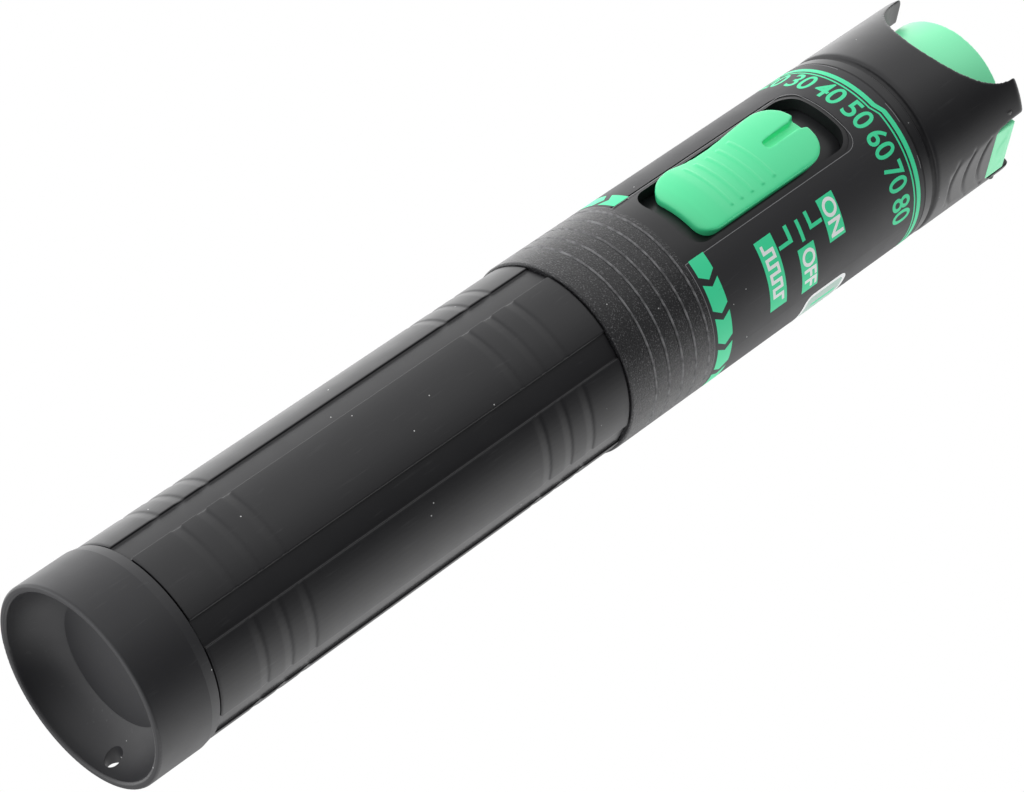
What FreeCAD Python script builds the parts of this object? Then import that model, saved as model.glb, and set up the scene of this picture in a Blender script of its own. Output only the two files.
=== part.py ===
import FreeCAD, Part
import os
import Sketcher
from FreeCAD import Placement, Rotation, Vector
from types import SimpleNamespace

# Visual fault locator: a pen-shaped fibre tester that runs on two AA cells.
# It stands on its tail cup. +Z runs along the axis to the head, and the thumb slider faces -Y.
# All lengths are millimetres and all angles degrees.

SIZES = {
    # tail cup
    "rim_step": 0.3,
    "rim_width": 1.15,
    "rim_round": 0.4,
    "cup_length": 10.3,
    "cup_chamfer": 1.6,
    "cup_chamfer_drop": 0.3,
    "cup_depth": 5.9,
    "cup_floor_radius": 9.2,
    "cup_dish_radius": 7.5,
    "cup_floor_wall": 1.6,
    "lanyard_radius": 1.3,
    "lanyard_height": 2.6,
    "boss_wall": 3.0,
    "boss_length": 5.2,
    "boss_clearance": 0.05,
    # grip sleeve
    "seam_gap": 0.3,
    "grip_wall": 5.2,
    "grip_edge": 0.3,
    "channel_width": 3.9,
    "channel_depth": 1.05,
    "channel_count": 6,
    "channel_clock": 11.0,
    "step_pitch": 4.2,
    "step_ramp": 1.45,
    "step_depth": 0.38,
    "step_count": 3,
    "step_inset_tail": 6.6,
    "step_inset_head": 17.0,
    # battery tube and cells
    "tube_clearance": 0.4,
    "tube_wall": 1.7,
    "tube_end_gap": 1.0,
    "cell_radius": 7.2,
    "cell_length": 49.5,
    "cell_edge": 0.8,
    "nub_radius": 2.75,
    "nub_length": 1.0,
    "cell_reach": 27.7,
    "spring_length": 4.4,
    "spring_wire": 0.4,
    "spring_radius": 5.2,
    "spring_turns": 4,
    "plate_thickness": 0.4,
    # screw joint between the grip and the head
    "thread_wall": 3.0,
    "thread_clearance": 0.08,
    "thread_length": 7.6,
    "spigot_wall": 3.1,
    "seal_section": 0.8,
    "seal_inset": 0.5,
    "seal_clearance": 0.03,
    # front housing
    "housing_step": 0.35,
    "housing_length": 62.3,
    "housing_wall": 2.05,
    "shoulder_wall": 2.6,
    "ring_groove_first": 4.7,
    "ring_groove_pitch": 2.7,
    "ring_groove_width": 0.5,
    "ring_groove_depth": 0.32,
    "ring_groove_count": 5,
    "film_thickness": 0.1,
    "film_start": 16.6,
    "film_border": 0.8,
    # switch window and slider
    "window_inset": 42.7,
    "window_length": 33.3,
    "window_width": 12.4,
    "window_corner": 3.0,
    "slider_gap": 1.3,
    "slider_length": 27.6,
    "slider_width": 11.8,
    "slider_corner": 3.2,
    "slider_rise": 2.3,
    "slider_round": 1.0,
    "rear_slope": 3.6,
    "rear_lip": 1.3,
    "rib_count": 6,
    "rib_pitch": 1.1,
    "rib_radius": 0.4,
    "rib_rise": 0.16,
    "rib_length": 7.8,
    "saddle_depth": 1.25,
    "saddle_length": 12.5,
    "pointer_width": 1.4,
    "pointer_length": 8.2,
    "pointer_depth": 1.3,
    "slide_travel": 4.4,
    "shutter_wall": 0.9,
    "shutter_gap": 0.1,
    "shutter_half_angle": 33.0,
    "shutter_overlap": 0.4,
    "lever_width": 1.3,
    "lever_gap": 0.05,
    # carrier, board and switch
    "carrier_gap": 0.1,
    "carrier_wall": 1.2,
    "carrier_start": 6.0,
    "carrier_end_gap": 0.5,
    "board_clearance": 0.8,
    "board_thickness": 1.0,
    "board_seat": 0.54,
    "board_start": 10.0,
    "bulkhead_length": 5.0,
    "switch_width": 4.4,
    "switch_length": 11.5,
    "switch_height": 2.0,
    "chip_side": 4.0,
    "chip_height": 1.2,
    "screw_radius": 0.8,
    "screw_head_radius": 1.4,
    "screw_head_height": 0.9,
    "screw_length": 4.0,
    "screw_spacing": 11.0,
    "contact_gap": 0.05,
    "contact_thickness": 1.2,
    "stud_radius": 2.2,
    "stud_shank": 0.8,
    "stud_height": 0.5,
    # optics
    "holder_radius": 5.5,
    "holder_length": 22.0,
    "holder_bore": 2.5,
    "can_flange_radius": 2.8,
    "can_flange_length": 1.2,
    "can_radius": 2.3,
    "can_length": 3.6,
    "can_inset": 3.0,
    "lens_radius": 2.5,
    "lens_thickness": 2.0,
    "lens_rise": 0.6,
    "lens_spacing": 3.0,
    "port_radius": 3.9,
    "port_flange_radius": 7.0,
    "port_flange_length": 3.0,
    "port_reach": 3.7,
    "port_edge": 0.5,
    "beam_radius": 0.9,
    "ferrule_radius": 1.25,
    "sleeve_wall": 0.4,
    "sleeve_length": 13.0,
    "sleeve_inset": 0.3,
    # head
    "collar_gap": 0.1,
    "collar_length": 2.0,
    "collar_step": 0.05,
    "neck_length": 1.0,
    "neck_step": 0.75,
    "crown_step": 0.03,
    "crown_length": 20.6,
    "crown_wall": 3.48,
    "crown_floor": 5.8,
    "crown_spigot": 5.9,
    "crown_spigot_gap": 0.05,
    "ear_round": 1.1,
    "ear_lip_round": 0.7,
    "scoop_radius": 10.8,
    "scoop_inset": 0.9,
    "panel_start": 17.7,
    "panel_depth": 0.37,
    "panel_taper": 0.83,
    "panel_groove_radius": 6.7,
    "panel_groove_width": 0.5,
    "panel_groove_depth": 0.35,
    "panel_groove_pitch": 3.65,
    "panel_groove_first": 0.7,
    "panel_groove_count": 3,
    "notch_width": 10.2,
    "notch_depth": 6.2,
    # dust cap
    "cap_gap": 1.5,
    "cap_length": 9.0,
    "cap_inset": 0.7,
    "cap_wall": 1.6,
    "cap_roof": 1.8,
    "cap_round": 1.2,
    "lug_width": 6.4,
    "lug_thickness": 1.6,
    "pin_radius": 0.75,
    "pin_clearance": 0.05,
    "pin_depth": 2.08,
    "pin_inset": 3.5,
    "pin_embed": 1.6,
    "knuckle_radius": 1.35,
    "tab_half_width": 2.0,
    "tab_thickness": 1.0,
    "tab_drop": 2.15,
}


class Length:
    """A size that carries its present value and the expression that ties it to the sheet."""

    def __init__(self, value, text):
        self.value = float(value)
        self.text = text

    def __add__(self, other):
        other = as_length(other)
        return Length(self.value + other.value, f"({self.text} + {other.text})")

    def __sub__(self, other):
        other = as_length(other)
        return Length(self.value - other.value, f"({self.text} - {other.text})")

    def __mul__(self, other):
        other = as_length(other)
        return Length(self.value * other.value, f"({self.text} * {other.text})")

    def __truediv__(self, other):
        other = as_length(other)
        return Length(self.value / other.value, f"({self.text} / {other.text})")

    def __neg__(self):
        return Length(-self.value, f"(0 - {self.text})")

    def root(self):
        return Length(self.value**0.5, f"sqrt({self.text})")

    __radd__ = __add__
    __rmul__ = __mul__


def as_length(number):
    """A plain number becomes a constant length."""
    return number if isinstance(number, Length) else Length(number, repr(float(number)))


ZERO = as_length(0)
FAR = as_length(40)  # well past the outside of the object, for cuts that run out of it


def write_sheet(doc):
    """The driving sizes as a spreadsheet, and a namespace of lengths tied to its cells."""
    sheet = doc.addObject("Spreadsheet::Sheet", "Sizes")
    lengths = SimpleNamespace()
    for row, (name, value) in enumerate(SIZES.items(), start=1):
        sheet.set(f"A{row}", name)
        sheet.set(f"B{row}", str(value))
        sheet.setAlias(f"B{row}", name)
        setattr(lengths, name, Length(value, f"Sizes.{name}"))
    doc.recompute()
    return lengths


def tie(feature, prop, length):
    """Binds one property to the sheet."""
    length = as_length(length)
    feature.setExpression(prop, length.text)


def new_body(doc, label):
    body = doc.addObject("PartDesign::Body", "Body_" + label)
    body.Label = label
    return body


def origin_feature(body, role):
    return next(item for item in body.Origin.OriginFeatures if item.Role == role)


def new_sketch(body, plane, offset=ZERO):
    """A sketch on one of the body's origin planes, moved along the plane's normal by offset."""
    sketch = body.newObject("Sketcher::SketchObject", body.Label + "_sketch")
    sketch.AttachmentSupport = [(origin_feature(body, plane), "")]
    sketch.MapMode = "FlatFace"
    tie(sketch, ".AttachmentOffset.Base.z", offset)
    return sketch


def pin_point(sketch, geometry, end, x, y):
    """Ties one point of the sketch to its two lengths from the origin."""
    for kind, length in (("DistanceX", x), ("DistanceY", y)):
        index = sketch.addConstraint(
            Sketcher.Constraint(kind, -1, 1, geometry, end, length.value)
        )
        sketch.setExpression(f"Constraints[{index}]", length.text)


def draw_outline(sketch, corners):
    """A closed outline. A corner is (x, y), or (x, y, radius) when an arc leaves it.

    A positive radius bulges the arc to the right of the way the outline runs, a negative one to its left.
    """
    spots = [(as_length(corner[0]), as_length(corner[1])) for corner in corners]
    ends = []
    for index, corner in enumerate(corners):
        x0, y0 = spots[index]
        x1, y1 = spots[(index + 1) % len(corners)]
        start = Vector(x0.value, y0.value, 0)
        finish = Vector(x1.value, y1.value, 0)
        if len(corner) == 2:
            item = sketch.addGeometry(Part.LineSegment(start, finish))
            ends.append((item, 1, 2))
            continue
        radius = as_length(corner[2])
        chord = finish - start
        half = chord.Length / 2
        reach = abs(radius.value)
        rise = reach - (reach**2 - half**2) ** 0.5
        outwards = radius.value > 0
        side = Vector(chord.y, -chord.x, 0).normalize() * (1 if outwards else -1)
        middle = (start + finish) * 0.5 + side * rise
        first, last = (start, finish) if outwards else (finish, start)
        item = sketch.addGeometry(Part.Arc(first, middle, last))
        ends.append((item, 1, 2) if outwards else (item, 2, 1))
        tied = radius if outwards else -radius
        index_radius = sketch.addConstraint(Sketcher.Constraint("Radius", item, reach))
        sketch.setExpression(f"Constraints[{index_radius}]", tied.text)
    for index, (item, first, last) in enumerate(ends):
        following, start_end, _ = ends[(index + 1) % len(ends)]
        sketch.addConstraint(Sketcher.Constraint("Coincident", item, last, following, start_end))
        pin_point(sketch, item, first, *spots[index])


def draw_circle(sketch, x, y, radius):
    x, y, radius = as_length(x), as_length(y), as_length(radius)
    circle = Part.Circle(Vector(x.value, y.value, 0), Vector(0, 0, 1), radius.value)
    item = sketch.addGeometry(circle)
    pin_point(sketch, item, 3, x, y)
    index = sketch.addConstraint(Sketcher.Constraint("Radius", item, radius.value))
    sketch.setExpression(f"Constraints[{index}]", radius.text)


def rounded_box(width, length, start, corner):
    """The outline of a box with rounded corners, centred on x = 0 and starting at height start."""
    half = width / 2
    top = start + length
    return [
        (half - corner, start, corner),
        (half, start + corner),
        (half, top - corner, corner),
        (half - corner, top),
        (corner - half, top, corner),
        (-half, top - corner),
        (-half, start + corner, corner),
        (corner - half, start),
    ]


def turned(doc, label, corners):
    """A body of revolution about Z from an (r, z) outline."""
    body = new_body(doc, label)
    sketch = new_sketch(body, "XZ_Plane")
    draw_outline(sketch, corners)
    turn = body.newObject("PartDesign::Revolution", label + "_turn")
    turn.Profile = sketch
    turn.ReferenceAxis = (sketch, ["V_Axis"])
    turn.Angle = 360
    return body


def turned_cut(body, corners):
    """Cuts an (r, z) outline all round the axis."""
    sketch = new_sketch(body, "XZ_Plane")
    draw_outline(sketch, corners)
    groove = body.newObject("PartDesign::Groove", body.Label + "_groove")
    groove.Profile = sketch
    groove.ReferenceAxis = (sketch, ["V_Axis"])
    groove.Angle = 360
    return groove


def padded(doc, label, plane, offset, draw, length):
    """A body made by extruding a drawn outline along its plane's normal."""
    body = new_body(doc, label)
    add_pad(body, plane, offset, draw, length)
    return body


def add_pad(body, plane, offset, draw, length):
    sketch = new_sketch(body, plane, offset)
    draw(sketch)
    pad = body.newObject("PartDesign::Pad", body.Label + "_pad")
    pad.Profile = sketch
    tie(pad, "Length", length)
    return pad


def pocket(body, plane, offset, draw, length, outwards=True):
    """Cuts a drawn outline: outwards along the plane's normal, or against it."""
    sketch = new_sketch(body, plane, offset)
    draw(sketch)
    cut = body.newObject("PartDesign::Pocket", body.Label + "_pocket")
    cut.Profile = sketch
    cut.Reversed = outwards
    tie(cut, "Length", length)
    return cut


def pocket_through(body, plane, draw):
    """Cuts a drawn outline right through, both ways from the plane."""
    sketch = new_sketch(body, plane)
    draw(sketch)
    cut = body.newObject("PartDesign::Pocket", body.Label + "_pocket")
    cut.Profile = sketch
    cut.Midplane = True
    tie(cut, "Length", FAR * 2)
    return cut


def repeat_along_z(body, features, count, pitch):
    pattern = body.newObject("PartDesign::LinearPattern", body.Label + "_row")
    pattern.Originals = features
    pattern.Direction = (origin_feature(body, "Z_Axis"), [""])
    tie(pattern, "Length", pitch * (count - 1))
    tie(pattern, "Occurrences", count)
    body.Tip = pattern
    return pattern


def repeat_round_z(body, features, count):
    pattern = body.newObject("PartDesign::PolarPattern", body.Label + "_round")
    pattern.Originals = features
    pattern.Axis = (origin_feature(body, "Z_Axis"), [""])
    pattern.Angle = 360
    tie(pattern, "Occurrences", count)
    body.Tip = pattern
    return pattern


def mirror_across(body, features, plane):
    mirrored = body.newObject("PartDesign::Mirrored", body.Label + "_mirror")
    mirrored.Originals = features
    mirrored.MirrorPlane = (origin_feature(body, plane), [""])
    body.Tip = mirrored
    return mirrored


def cylinder(doc, label, radius, length, x=ZERO, y=ZERO, z=ZERO, rotation=None):
    item = doc.addObject("Part::Cylinder", label)
    item.Label = label
    tie(item, "Radius", radius)
    tie(item, "Height", length)
    place(item, x, y, z, rotation)
    return item


def place(item, x, y, z, rotation=None):
    if rotation:
        item.Placement = Placement(Vector(), rotation)
    for axis, length in zip("xyz", (x, y, z)):
        tie(item, f".Placement.Base.{axis}", length)


def box(doc, label, width, depth, height, y, z):
    """A box centred on x = 0, from y and z upwards."""
    item = doc.addObject("Part::Box", label)
    item.Label = label
    tie(item, "Length", width)
    tie(item, "Width", depth)
    tie(item, "Height", height)
    place(item, -(width / 2), y, z)
    return item


def radii(s):
    """Radii and distances from the axis that more than one piece shares."""
    r = SimpleNamespace()
    r.tube_bore = s.cell_radius + s.tube_clearance
    r.tube = r.tube_bore + s.tube_wall
    r.grip = r.tube + s.grip_wall
    r.rim = r.grip + s.rim_step
    r.boss = r.grip - s.boss_wall
    r.thread = r.grip - s.thread_wall
    r.spigot_bore = r.thread - s.spigot_wall
    r.housing = r.grip + s.housing_step
    r.housing_bore = r.housing - s.housing_wall
    r.carrier = r.housing_bore - s.carrier_gap
    r.carrier_inside = r.carrier - s.carrier_wall
    r.shutter = r.housing_bore - s.shutter_gap
    r.board = s.cell_radius + s.board_clearance
    r.board_top = r.board + s.board_thickness
    r.switch_top = r.board_top + s.switch_height
    r.collar = r.housing - s.collar_step
    r.neck = r.housing - s.neck_step
    r.crown = r.housing + s.crown_step
    r.crown_bore = r.crown - s.crown_wall
    r.cap = r.crown_bore - s.cap_gap
    r.cap_bore = r.cap - s.cap_wall
    r.pin = r.crown - s.pin_depth
    return r


def levels(s):
    """Heights along the axis that more than one piece shares."""
    z = SimpleNamespace()
    z.cup_floor = s.cup_depth + s.cup_floor_wall
    z.boss_end = s.cup_length + s.boss_length
    z.grip = s.cup_length + s.seam_gap
    z.cell_rear = z.cup_floor + s.plate_thickness + s.spring_length
    z.cell_front = z.cell_rear + s.cell_length + s.nub_length
    z.nub_tip = z.cell_front + s.cell_length + s.nub_length
    z.grip_end = z.nub_tip - s.cell_reach
    z.housing = z.grip_end + s.seam_gap / 2
    z.housing_end = z.housing + s.housing_length
    z.film = z.housing + s.film_start
    z.window = z.housing_end - s.window_inset
    z.window_end = z.window + s.window_length
    z.slider = z.window + s.slider_gap
    z.carrier = z.housing + s.carrier_start
    z.board = z.housing + s.board_start
    z.contact = z.nub_tip + s.contact_gap
    z.collar = z.housing_end + s.collar_gap
    z.neck = z.collar + s.collar_length
    z.crown = z.neck + s.neck_length
    z.crown_end = z.crown + s.crown_length
    z.crown_floor = z.crown + s.crown_floor
    z.spigot = z.neck - s.crown_spigot
    z.carrier_end = z.spigot - s.carrier_end_gap
    z.screws = z.carrier_end - s.bulkhead_length / 2
    z.holder = z.spigot - s.holder_length
    z.port_end = z.crown_end - s.port_reach
    z.cap_end = z.crown_end - s.cap_inset
    z.cap = z.cap_end - s.cap_length
    z.pin = z.crown_end - s.pin_inset
    z.lever = z.slider + s.slider_length / 2
    return z


def make_tail_cup(doc, s, r, z):
    """Open dished cup that closes the tail, with a boss that is pressed into the grip."""
    waist = r.rim - s.cup_chamfer_drop
    edge = s.rim_round
    cup = turned(
        doc,
        "tail_cup",
        [
            (0, s.cup_depth),
            (s.cup_floor_radius, s.cup_depth, -s.cup_dish_radius),
            (r.rim - s.rim_width, edge, edge),
            (r.rim - s.rim_width + edge, 0),
            (r.rim - edge, 0, edge),
            (r.rim, edge),
            (r.rim, s.cup_length - s.cup_chamfer),
            (waist, s.cup_length),
            (r.boss, s.cup_length),
            (r.boss, z.boss_end),
            (r.tube_bore + s.plate_thickness, z.boss_end),
            (r.tube_bore + s.plate_thickness, z.cup_floor),
            (0, z.cup_floor),
        ],
    )
    hole = pocket(
        cup,
        "YZ_Plane",
        s.cup_floor_radius,
        lambda sketch: draw_circle(sketch, 0, s.lanyard_height, s.lanyard_radius),
        FAR,
    )
    hole.Label = "lanyard_hole"
    tie(cup, ".Placement.Rotation.Angle", s.channel_clock + 60)
    return cup


def make_grip_sleeve(doc, s, r, z):
    """Grip with six raised pads, stepped at both ends, and bores for the cup, tube and head."""
    socket = r.thread + s.thread_clearance
    front_socket = z.grip_end - s.thread_length - s.seam_gap
    grip = turned(
        doc,
        "grip_sleeve",
        [
            (r.boss + s.boss_clearance, z.grip),
            (r.grip - s.grip_edge, z.grip, s.grip_edge),
            (r.grip, z.grip + s.grip_edge),
            (r.grip, z.grip_end - s.grip_edge, s.grip_edge),
            (r.grip - s.grip_edge, z.grip_end),
            (socket, z.grip_end),
            (socket, front_socket),
            (r.tube, front_socket),
            (r.tube, z.boss_end + s.seam_gap),
            (r.boss + s.boss_clearance, z.boss_end + s.seam_gap),
        ],
    )
    proud = r.grip + s.grip_edge
    for start in (z.grip + s.step_inset_tail, z.grip_end - s.step_inset_head):
        step = turned_cut(
            grip,
            [
                (proud, start),
                (r.grip, start),
                (r.grip - s.step_depth, start + s.step_ramp),
                (r.grip, start + s.step_ramp + s.step_depth / 2),
                (proud, start + s.step_ramp + s.step_depth / 2),
            ],
        )
        repeat_along_z(grip, [step], s.step_count, s.step_pitch)
    half = s.channel_width / 2
    floor = r.grip - s.channel_depth
    channel = pocket(
        grip,
        "XY_Plane",
        ZERO,
        lambda sketch: draw_outline(
            sketch, [(floor, -half), (FAR, -half), (FAR, half), (floor, half)]
        ),
        z.grip_end + s.grip_edge,
    )
    repeat_round_z(grip, [channel], s.channel_count)
    tie(grip, ".Placement.Rotation.Angle", s.channel_clock)
    return grip


def make_battery_tube(doc, s, r, z):
    """Aluminium tube that the cells slide in and that carries the current to the head."""
    start = z.boss_end + s.tube_end_gap
    end = z.grip_end - s.thread_length - s.tube_end_gap
    return turned(
        doc,
        "battery_tube",
        [(r.tube_bore, start), (r.tube, start), (r.tube, end), (r.tube_bore, end)],
    )


def make_cell(doc, s, label, start):
    """AA cell with its raised positive nub towards the head."""
    edge = s.cell_edge
    end = start + s.cell_length
    return turned(
        doc,
        label,
        [
            (0, start),
            (s.cell_radius - edge, start, edge),
            (s.cell_radius, start + edge),
            (s.cell_radius, end - edge, edge),
            (s.cell_radius - edge, end),
            (s.nub_radius, end),
            (s.nub_radius, end + s.nub_length),
            (0, end + s.nub_length),
        ],
    )


def make_tail_spring(doc, s, z):
    """Contact spring between the spring plate and the rear cell, of six-sided wire."""
    wire = s.spring_wire.value
    coil_radius = s.spring_radius.value
    rise = s.spring_length.value - 2 * wire
    helix = Part.makeHelix(rise / s.spring_turns.value, rise, coil_radius)
    corner = Vector(0, 0, wire)
    corners = [Rotation(Vector(0, 1, 0), 60 * index).multVec(corner) for index in range(7)]
    section = Part.makePolygon([Vector(coil_radius, 0, 0) + point for point in corners])
    spring = doc.addObject("Part::Feature", "tail_spring")
    spring.Shape = Part.Wire(helix).makePipeShell([section], True, True)
    place(spring, ZERO, ZERO, z.cup_floor + s.plate_thickness + s.spring_wire)
    return spring


def make_front_housing(doc, s, r, z):
    """Ribbed ring, switch window and label seat, with the thread spigot at its tail end."""
    seat = r.housing - s.film_thickness
    floor = r.thread - s.seal_section
    seal_end = z.housing - s.seal_inset
    seal_start = seal_end - s.seal_section - s.seal_clearance * 2
    edge = s.grip_edge
    housing = turned(
        doc,
        "front_housing",
        [
            (r.spigot_bore, z.housing - s.thread_length),
            (r.thread, z.housing - s.thread_length),
            (r.thread, seal_start),
            (floor, seal_start),
            (floor, seal_end),
            (r.thread, seal_end),
            (r.thread, z.housing),
            (r.housing - edge, z.housing, edge),
            (r.housing, z.housing + edge),
            (r.housing, z.film),
            (seat, z.film),
            (seat, z.housing_end),
            (r.housing_bore, z.housing_end),
            (r.housing_bore, z.housing + s.shoulder_wall),
            (r.spigot_bore, z.housing + s.shoulder_wall),
        ],
    )
    first = z.housing + s.ring_groove_first
    half = s.ring_groove_width / 2
    proud = r.housing + edge
    groove = turned_cut(
        housing,
        [
            (proud, first - half),
            (r.housing, first - half),
            (r.housing - s.ring_groove_depth, first),
            (r.housing, first + half),
            (proud, first + half),
        ],
    )
    repeat_along_z(housing, [groove], s.ring_groove_count, s.ring_groove_pitch)
    window = rounded_box(s.window_width, s.window_length, z.window, s.window_corner)
    pocket(housing, "XZ_Plane", ZERO, lambda sketch: draw_outline(sketch, window), FAR)
    return housing


def make_label_film(doc, s, r, z):
    """Printed film round the housing, cut away round the switch window as far as its tail edge."""
    inside = r.housing - s.film_thickness
    film = turned(
        doc,
        "label_film",
        [
            (inside, z.film),
            (r.housing, z.film),
            (r.housing, z.housing_end),
            (inside, z.housing_end),
        ],
    )
    half = s.window_width / 2 + s.film_border
    corner = s.window_corner + s.film_border
    top = z.window_end + s.film_border
    cutout = [
        (-half, z.housing),
        (half, z.housing),
        (half, top - corner, corner),
        (half - corner, top),
        (corner - half, top, corner),
        (-half, top - corner),
    ]
    pocket(film, "XZ_Plane", ZERO, lambda sketch: draw_outline(sketch, cutout), FAR)
    return film


def make_thumb_slider(doc, s, r, z):
    """Waisted thumb button with cross ribs in its saddle and a pointer slot at its head end."""
    foot = r.housing_bore
    height = r.housing + s.slider_rise - foot
    plan = rounded_box(s.slider_width, s.slider_length, z.slider, s.slider_corner)
    slider = padded(
        doc, "thumb_slider", "XZ_Plane", foot, lambda sketch: draw_outline(sketch, plan), height
    )
    crest = -(foot + height)
    round_top_edges(doc, slider, crest, s.slider_round)
    middle = z.slider + s.slider_length / 2 - s.slider_gap
    reach = s.saddle_length / 2
    dip = s.saddle_depth
    saddle_radius = (reach * reach + dip * dip) / (dip * 2)
    pocket_through(
        slider,
        "YZ_Plane",
        lambda sketch: draw_outline(
            sketch,
            [
                (crest, middle - reach, saddle_radius),
                (crest, middle + reach),
                (crest - dip, middle + reach),
                (crest - dip, middle - reach),
            ],
        ),
    )
    lip = -(foot + s.rear_lip)
    slope = z.slider + s.rear_slope
    pocket_through(
        slider,
        "YZ_Plane",
        lambda sketch: draw_outline(
            sketch,
            [
                (lip, z.slider),
                (lip, z.slider - dip),
                (crest - dip, z.slider - dip),
                (crest - dip, slope),
                (crest, slope),
            ],
        ),
    )
    for index in range(int(s.rib_count.value)):
        away = s.rib_pitch * index - s.rib_pitch * (s.rib_count - 1) / 2
        depth = dip - away * away / (saddle_radius * 2)
        rib = add_pad(
            slider,
            "YZ_Plane",
            ZERO,
            lambda sketch: draw_circle(
                sketch, crest + depth - s.rib_rise + s.rib_radius, middle + away, s.rib_radius
            ),
            s.rib_length,
        )
        rib.Midplane = True
    half = s.pointer_width / 2
    end = z.slider + s.slider_length
    start = end - s.pointer_length
    pocket(
        slider,
        "XZ_Plane",
        foot + height - s.pointer_depth,
        lambda sketch: draw_outline(
            sketch,
            [
                (-half, start + half, half * 1.05),
                (half, start + half),
                (half, end - half * 3),
                (half * 3, end + half),
                (-(half * 3), end + half),
                (-half, end - half * 3),
            ],
        ),
        FAR,
    )
    return slider


def round_top_edges(doc, body, level, radius):
    """Rounds the edges of the face that lies at y = level."""
    doc.recompute()
    base = body.Tip
    edges = [
        f"Edge{number}"
        for number, edge in enumerate(base.Shape.Edges, start=1)
        if abs(edge.BoundBox.YMin - level.value) < 0.01 and edge.BoundBox.YLength < 0.01
    ]
    rounded = body.newObject("PartDesign::Fillet", body.Label + "_round")
    rounded.Base = (base, edges)
    tie(rounded, "Radius", radius)


def make_slider_shutter(doc, s, r, z):
    """Curved black plate under the thumb slider that keeps the window closed in every position."""
    inside = r.shutter - s.shutter_wall
    start = z.window - s.slide_travel - s.shutter_overlap
    end = z.window_end + s.shutter_overlap
    shutter = turned(
        doc,
        "slider_shutter",
        [(inside, start), (r.shutter, start), (r.shutter, end), (inside, end)],
    )
    turn = shutter.Tip
    tie(turn, "Angle", s.shutter_half_angle * 2)
    tie(shutter, ".Placement.Rotation.Angle", as_length(-90) - s.shutter_half_angle)
    return shutter


def make_switch_lever(doc, s, r, z):
    """Lever of the slide switch, which the shutter moves."""
    base = r.switch_top + s.lever_gap
    top = r.shutter - s.shutter_wall - s.lever_gap
    return box(
        doc,
        "switch_lever",
        s.lever_width,
        top - base,
        s.lever_width,
        -top,
        z.lever - s.lever_width / 2,
    )


def make_inner_carrier(doc, s, r, z):
    """Trough that holds the board, the contact disc and, in its bulkhead, the laser holder."""
    bulkhead = z.carrier_end - s.bulkhead_length
    carrier = turned(
        doc,
        "inner_carrier",
        [
            (r.carrier_inside, z.carrier),
            (r.carrier, z.carrier),
            (r.carrier, z.carrier_end),
            (s.holder_radius, z.carrier_end),
            (s.holder_radius, bulkhead),
            (r.carrier_inside, bulkhead),
        ],
    )
    half = r.carrier + s.carrier_gap
    level = -r.board
    pocket(
        carrier,
        "XY_Plane",
        ZERO,
        lambda sketch: draw_outline(
            sketch, [(-half, -half), (half, -half), (half, level), (-half, level)]
        ),
        z.carrier_end + s.carrier_gap,
    )
    return carrier


def make_circuit_board(doc, s, r, z):
    """Board that lies on the trough's two long edges."""
    trough = (r.carrier_inside * r.carrier_inside - r.board * r.board).root()
    return box(
        doc,
        "circuit_board",
        (trough + s.board_seat) * 2,
        s.board_thickness,
        z.carrier_end - z.board,
        -r.board_top,
        z.board,
    )


def make_slide_switch(doc, s, r, z):
    """Three-position slide switch on the board, under the travel of its lever."""
    start = z.lever + s.slide_travel / 2 - s.switch_length / 2
    return box(
        doc, "slide_switch", s.switch_width, s.switch_height, s.switch_length, -r.switch_top, start
    )


def make_control_chip(doc, s, r, z):
    """Chip that drives the laser steadily or makes it blink."""
    top = -(r.board_top + s.chip_height)
    start = z.board + s.chip_side / 2
    return box(doc, "control_chip", s.chip_side, s.chip_height, s.chip_side, top, start)


def make_board_screws(doc, s, r, z):
    """Two screws that hold the board down on the bulkhead."""
    screws = []
    for side in (-1, 1):
        x = s.screw_spacing / 2 * side
        shank = cylinder(
            doc, "screw_shank", s.screw_radius, s.screw_length, x, -r.board_top, z.screws,
            Rotation(Vector(1, 0, 0), -90),
        )
        head = cylinder(
            doc, "screw_head", s.screw_head_radius, s.screw_head_height, x, -r.board_top, z.screws,
            Rotation(Vector(1, 0, 0), 90),
        )
        screw = doc.addObject("Part::Fuse", "screw")
        screw.Base, screw.Tool = shank, head
        screws.append(screw)
    both = doc.addObject("Part::Compound", "board_screws")
    both.Links = screws
    both.Label = "board_screws"
    return both


def cut_screw_holes(doc, s, r, z, label, source):
    """The same piece with holes for the board screws."""
    holes = []
    for side in (-1, 1):
        holes.append(
            cylinder(
                doc, "screw_hole", s.screw_radius, s.screw_length,
                s.screw_spacing / 2 * side, -r.board_top, z.screws,
                Rotation(Vector(1, 0, 0), -90),
            )
        )
    pair = doc.addObject("Part::Compound", label + "_holes")
    pair.Links = holes
    source.Label = label + "_blank"
    drilled = doc.addObject("Part::Cut", label)
    drilled.Base, drilled.Tool = source, pair
    drilled.Label = label
    return drilled


def make_contact_disc(doc, s, r, z):
    """Insulating disc across the trough that carries the front contact."""
    start = z.contact + s.stud_height
    disc = turned(
        doc,
        "contact_disc",
        [
            (s.stud_shank, start),
            (r.carrier_inside, start),
            (r.carrier_inside, start + s.contact_thickness),
            (s.stud_shank, start + s.contact_thickness),
        ],
    )
    level = -r.board
    pocket(
        disc,
        "XY_Plane",
        ZERO,
        lambda sketch: draw_outline(
            sketch, [(-FAR, -FAR), (FAR, -FAR), (FAR, level), (-FAR, level)]
        ),
        start + s.contact_thickness * 2,
    )
    return disc


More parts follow.
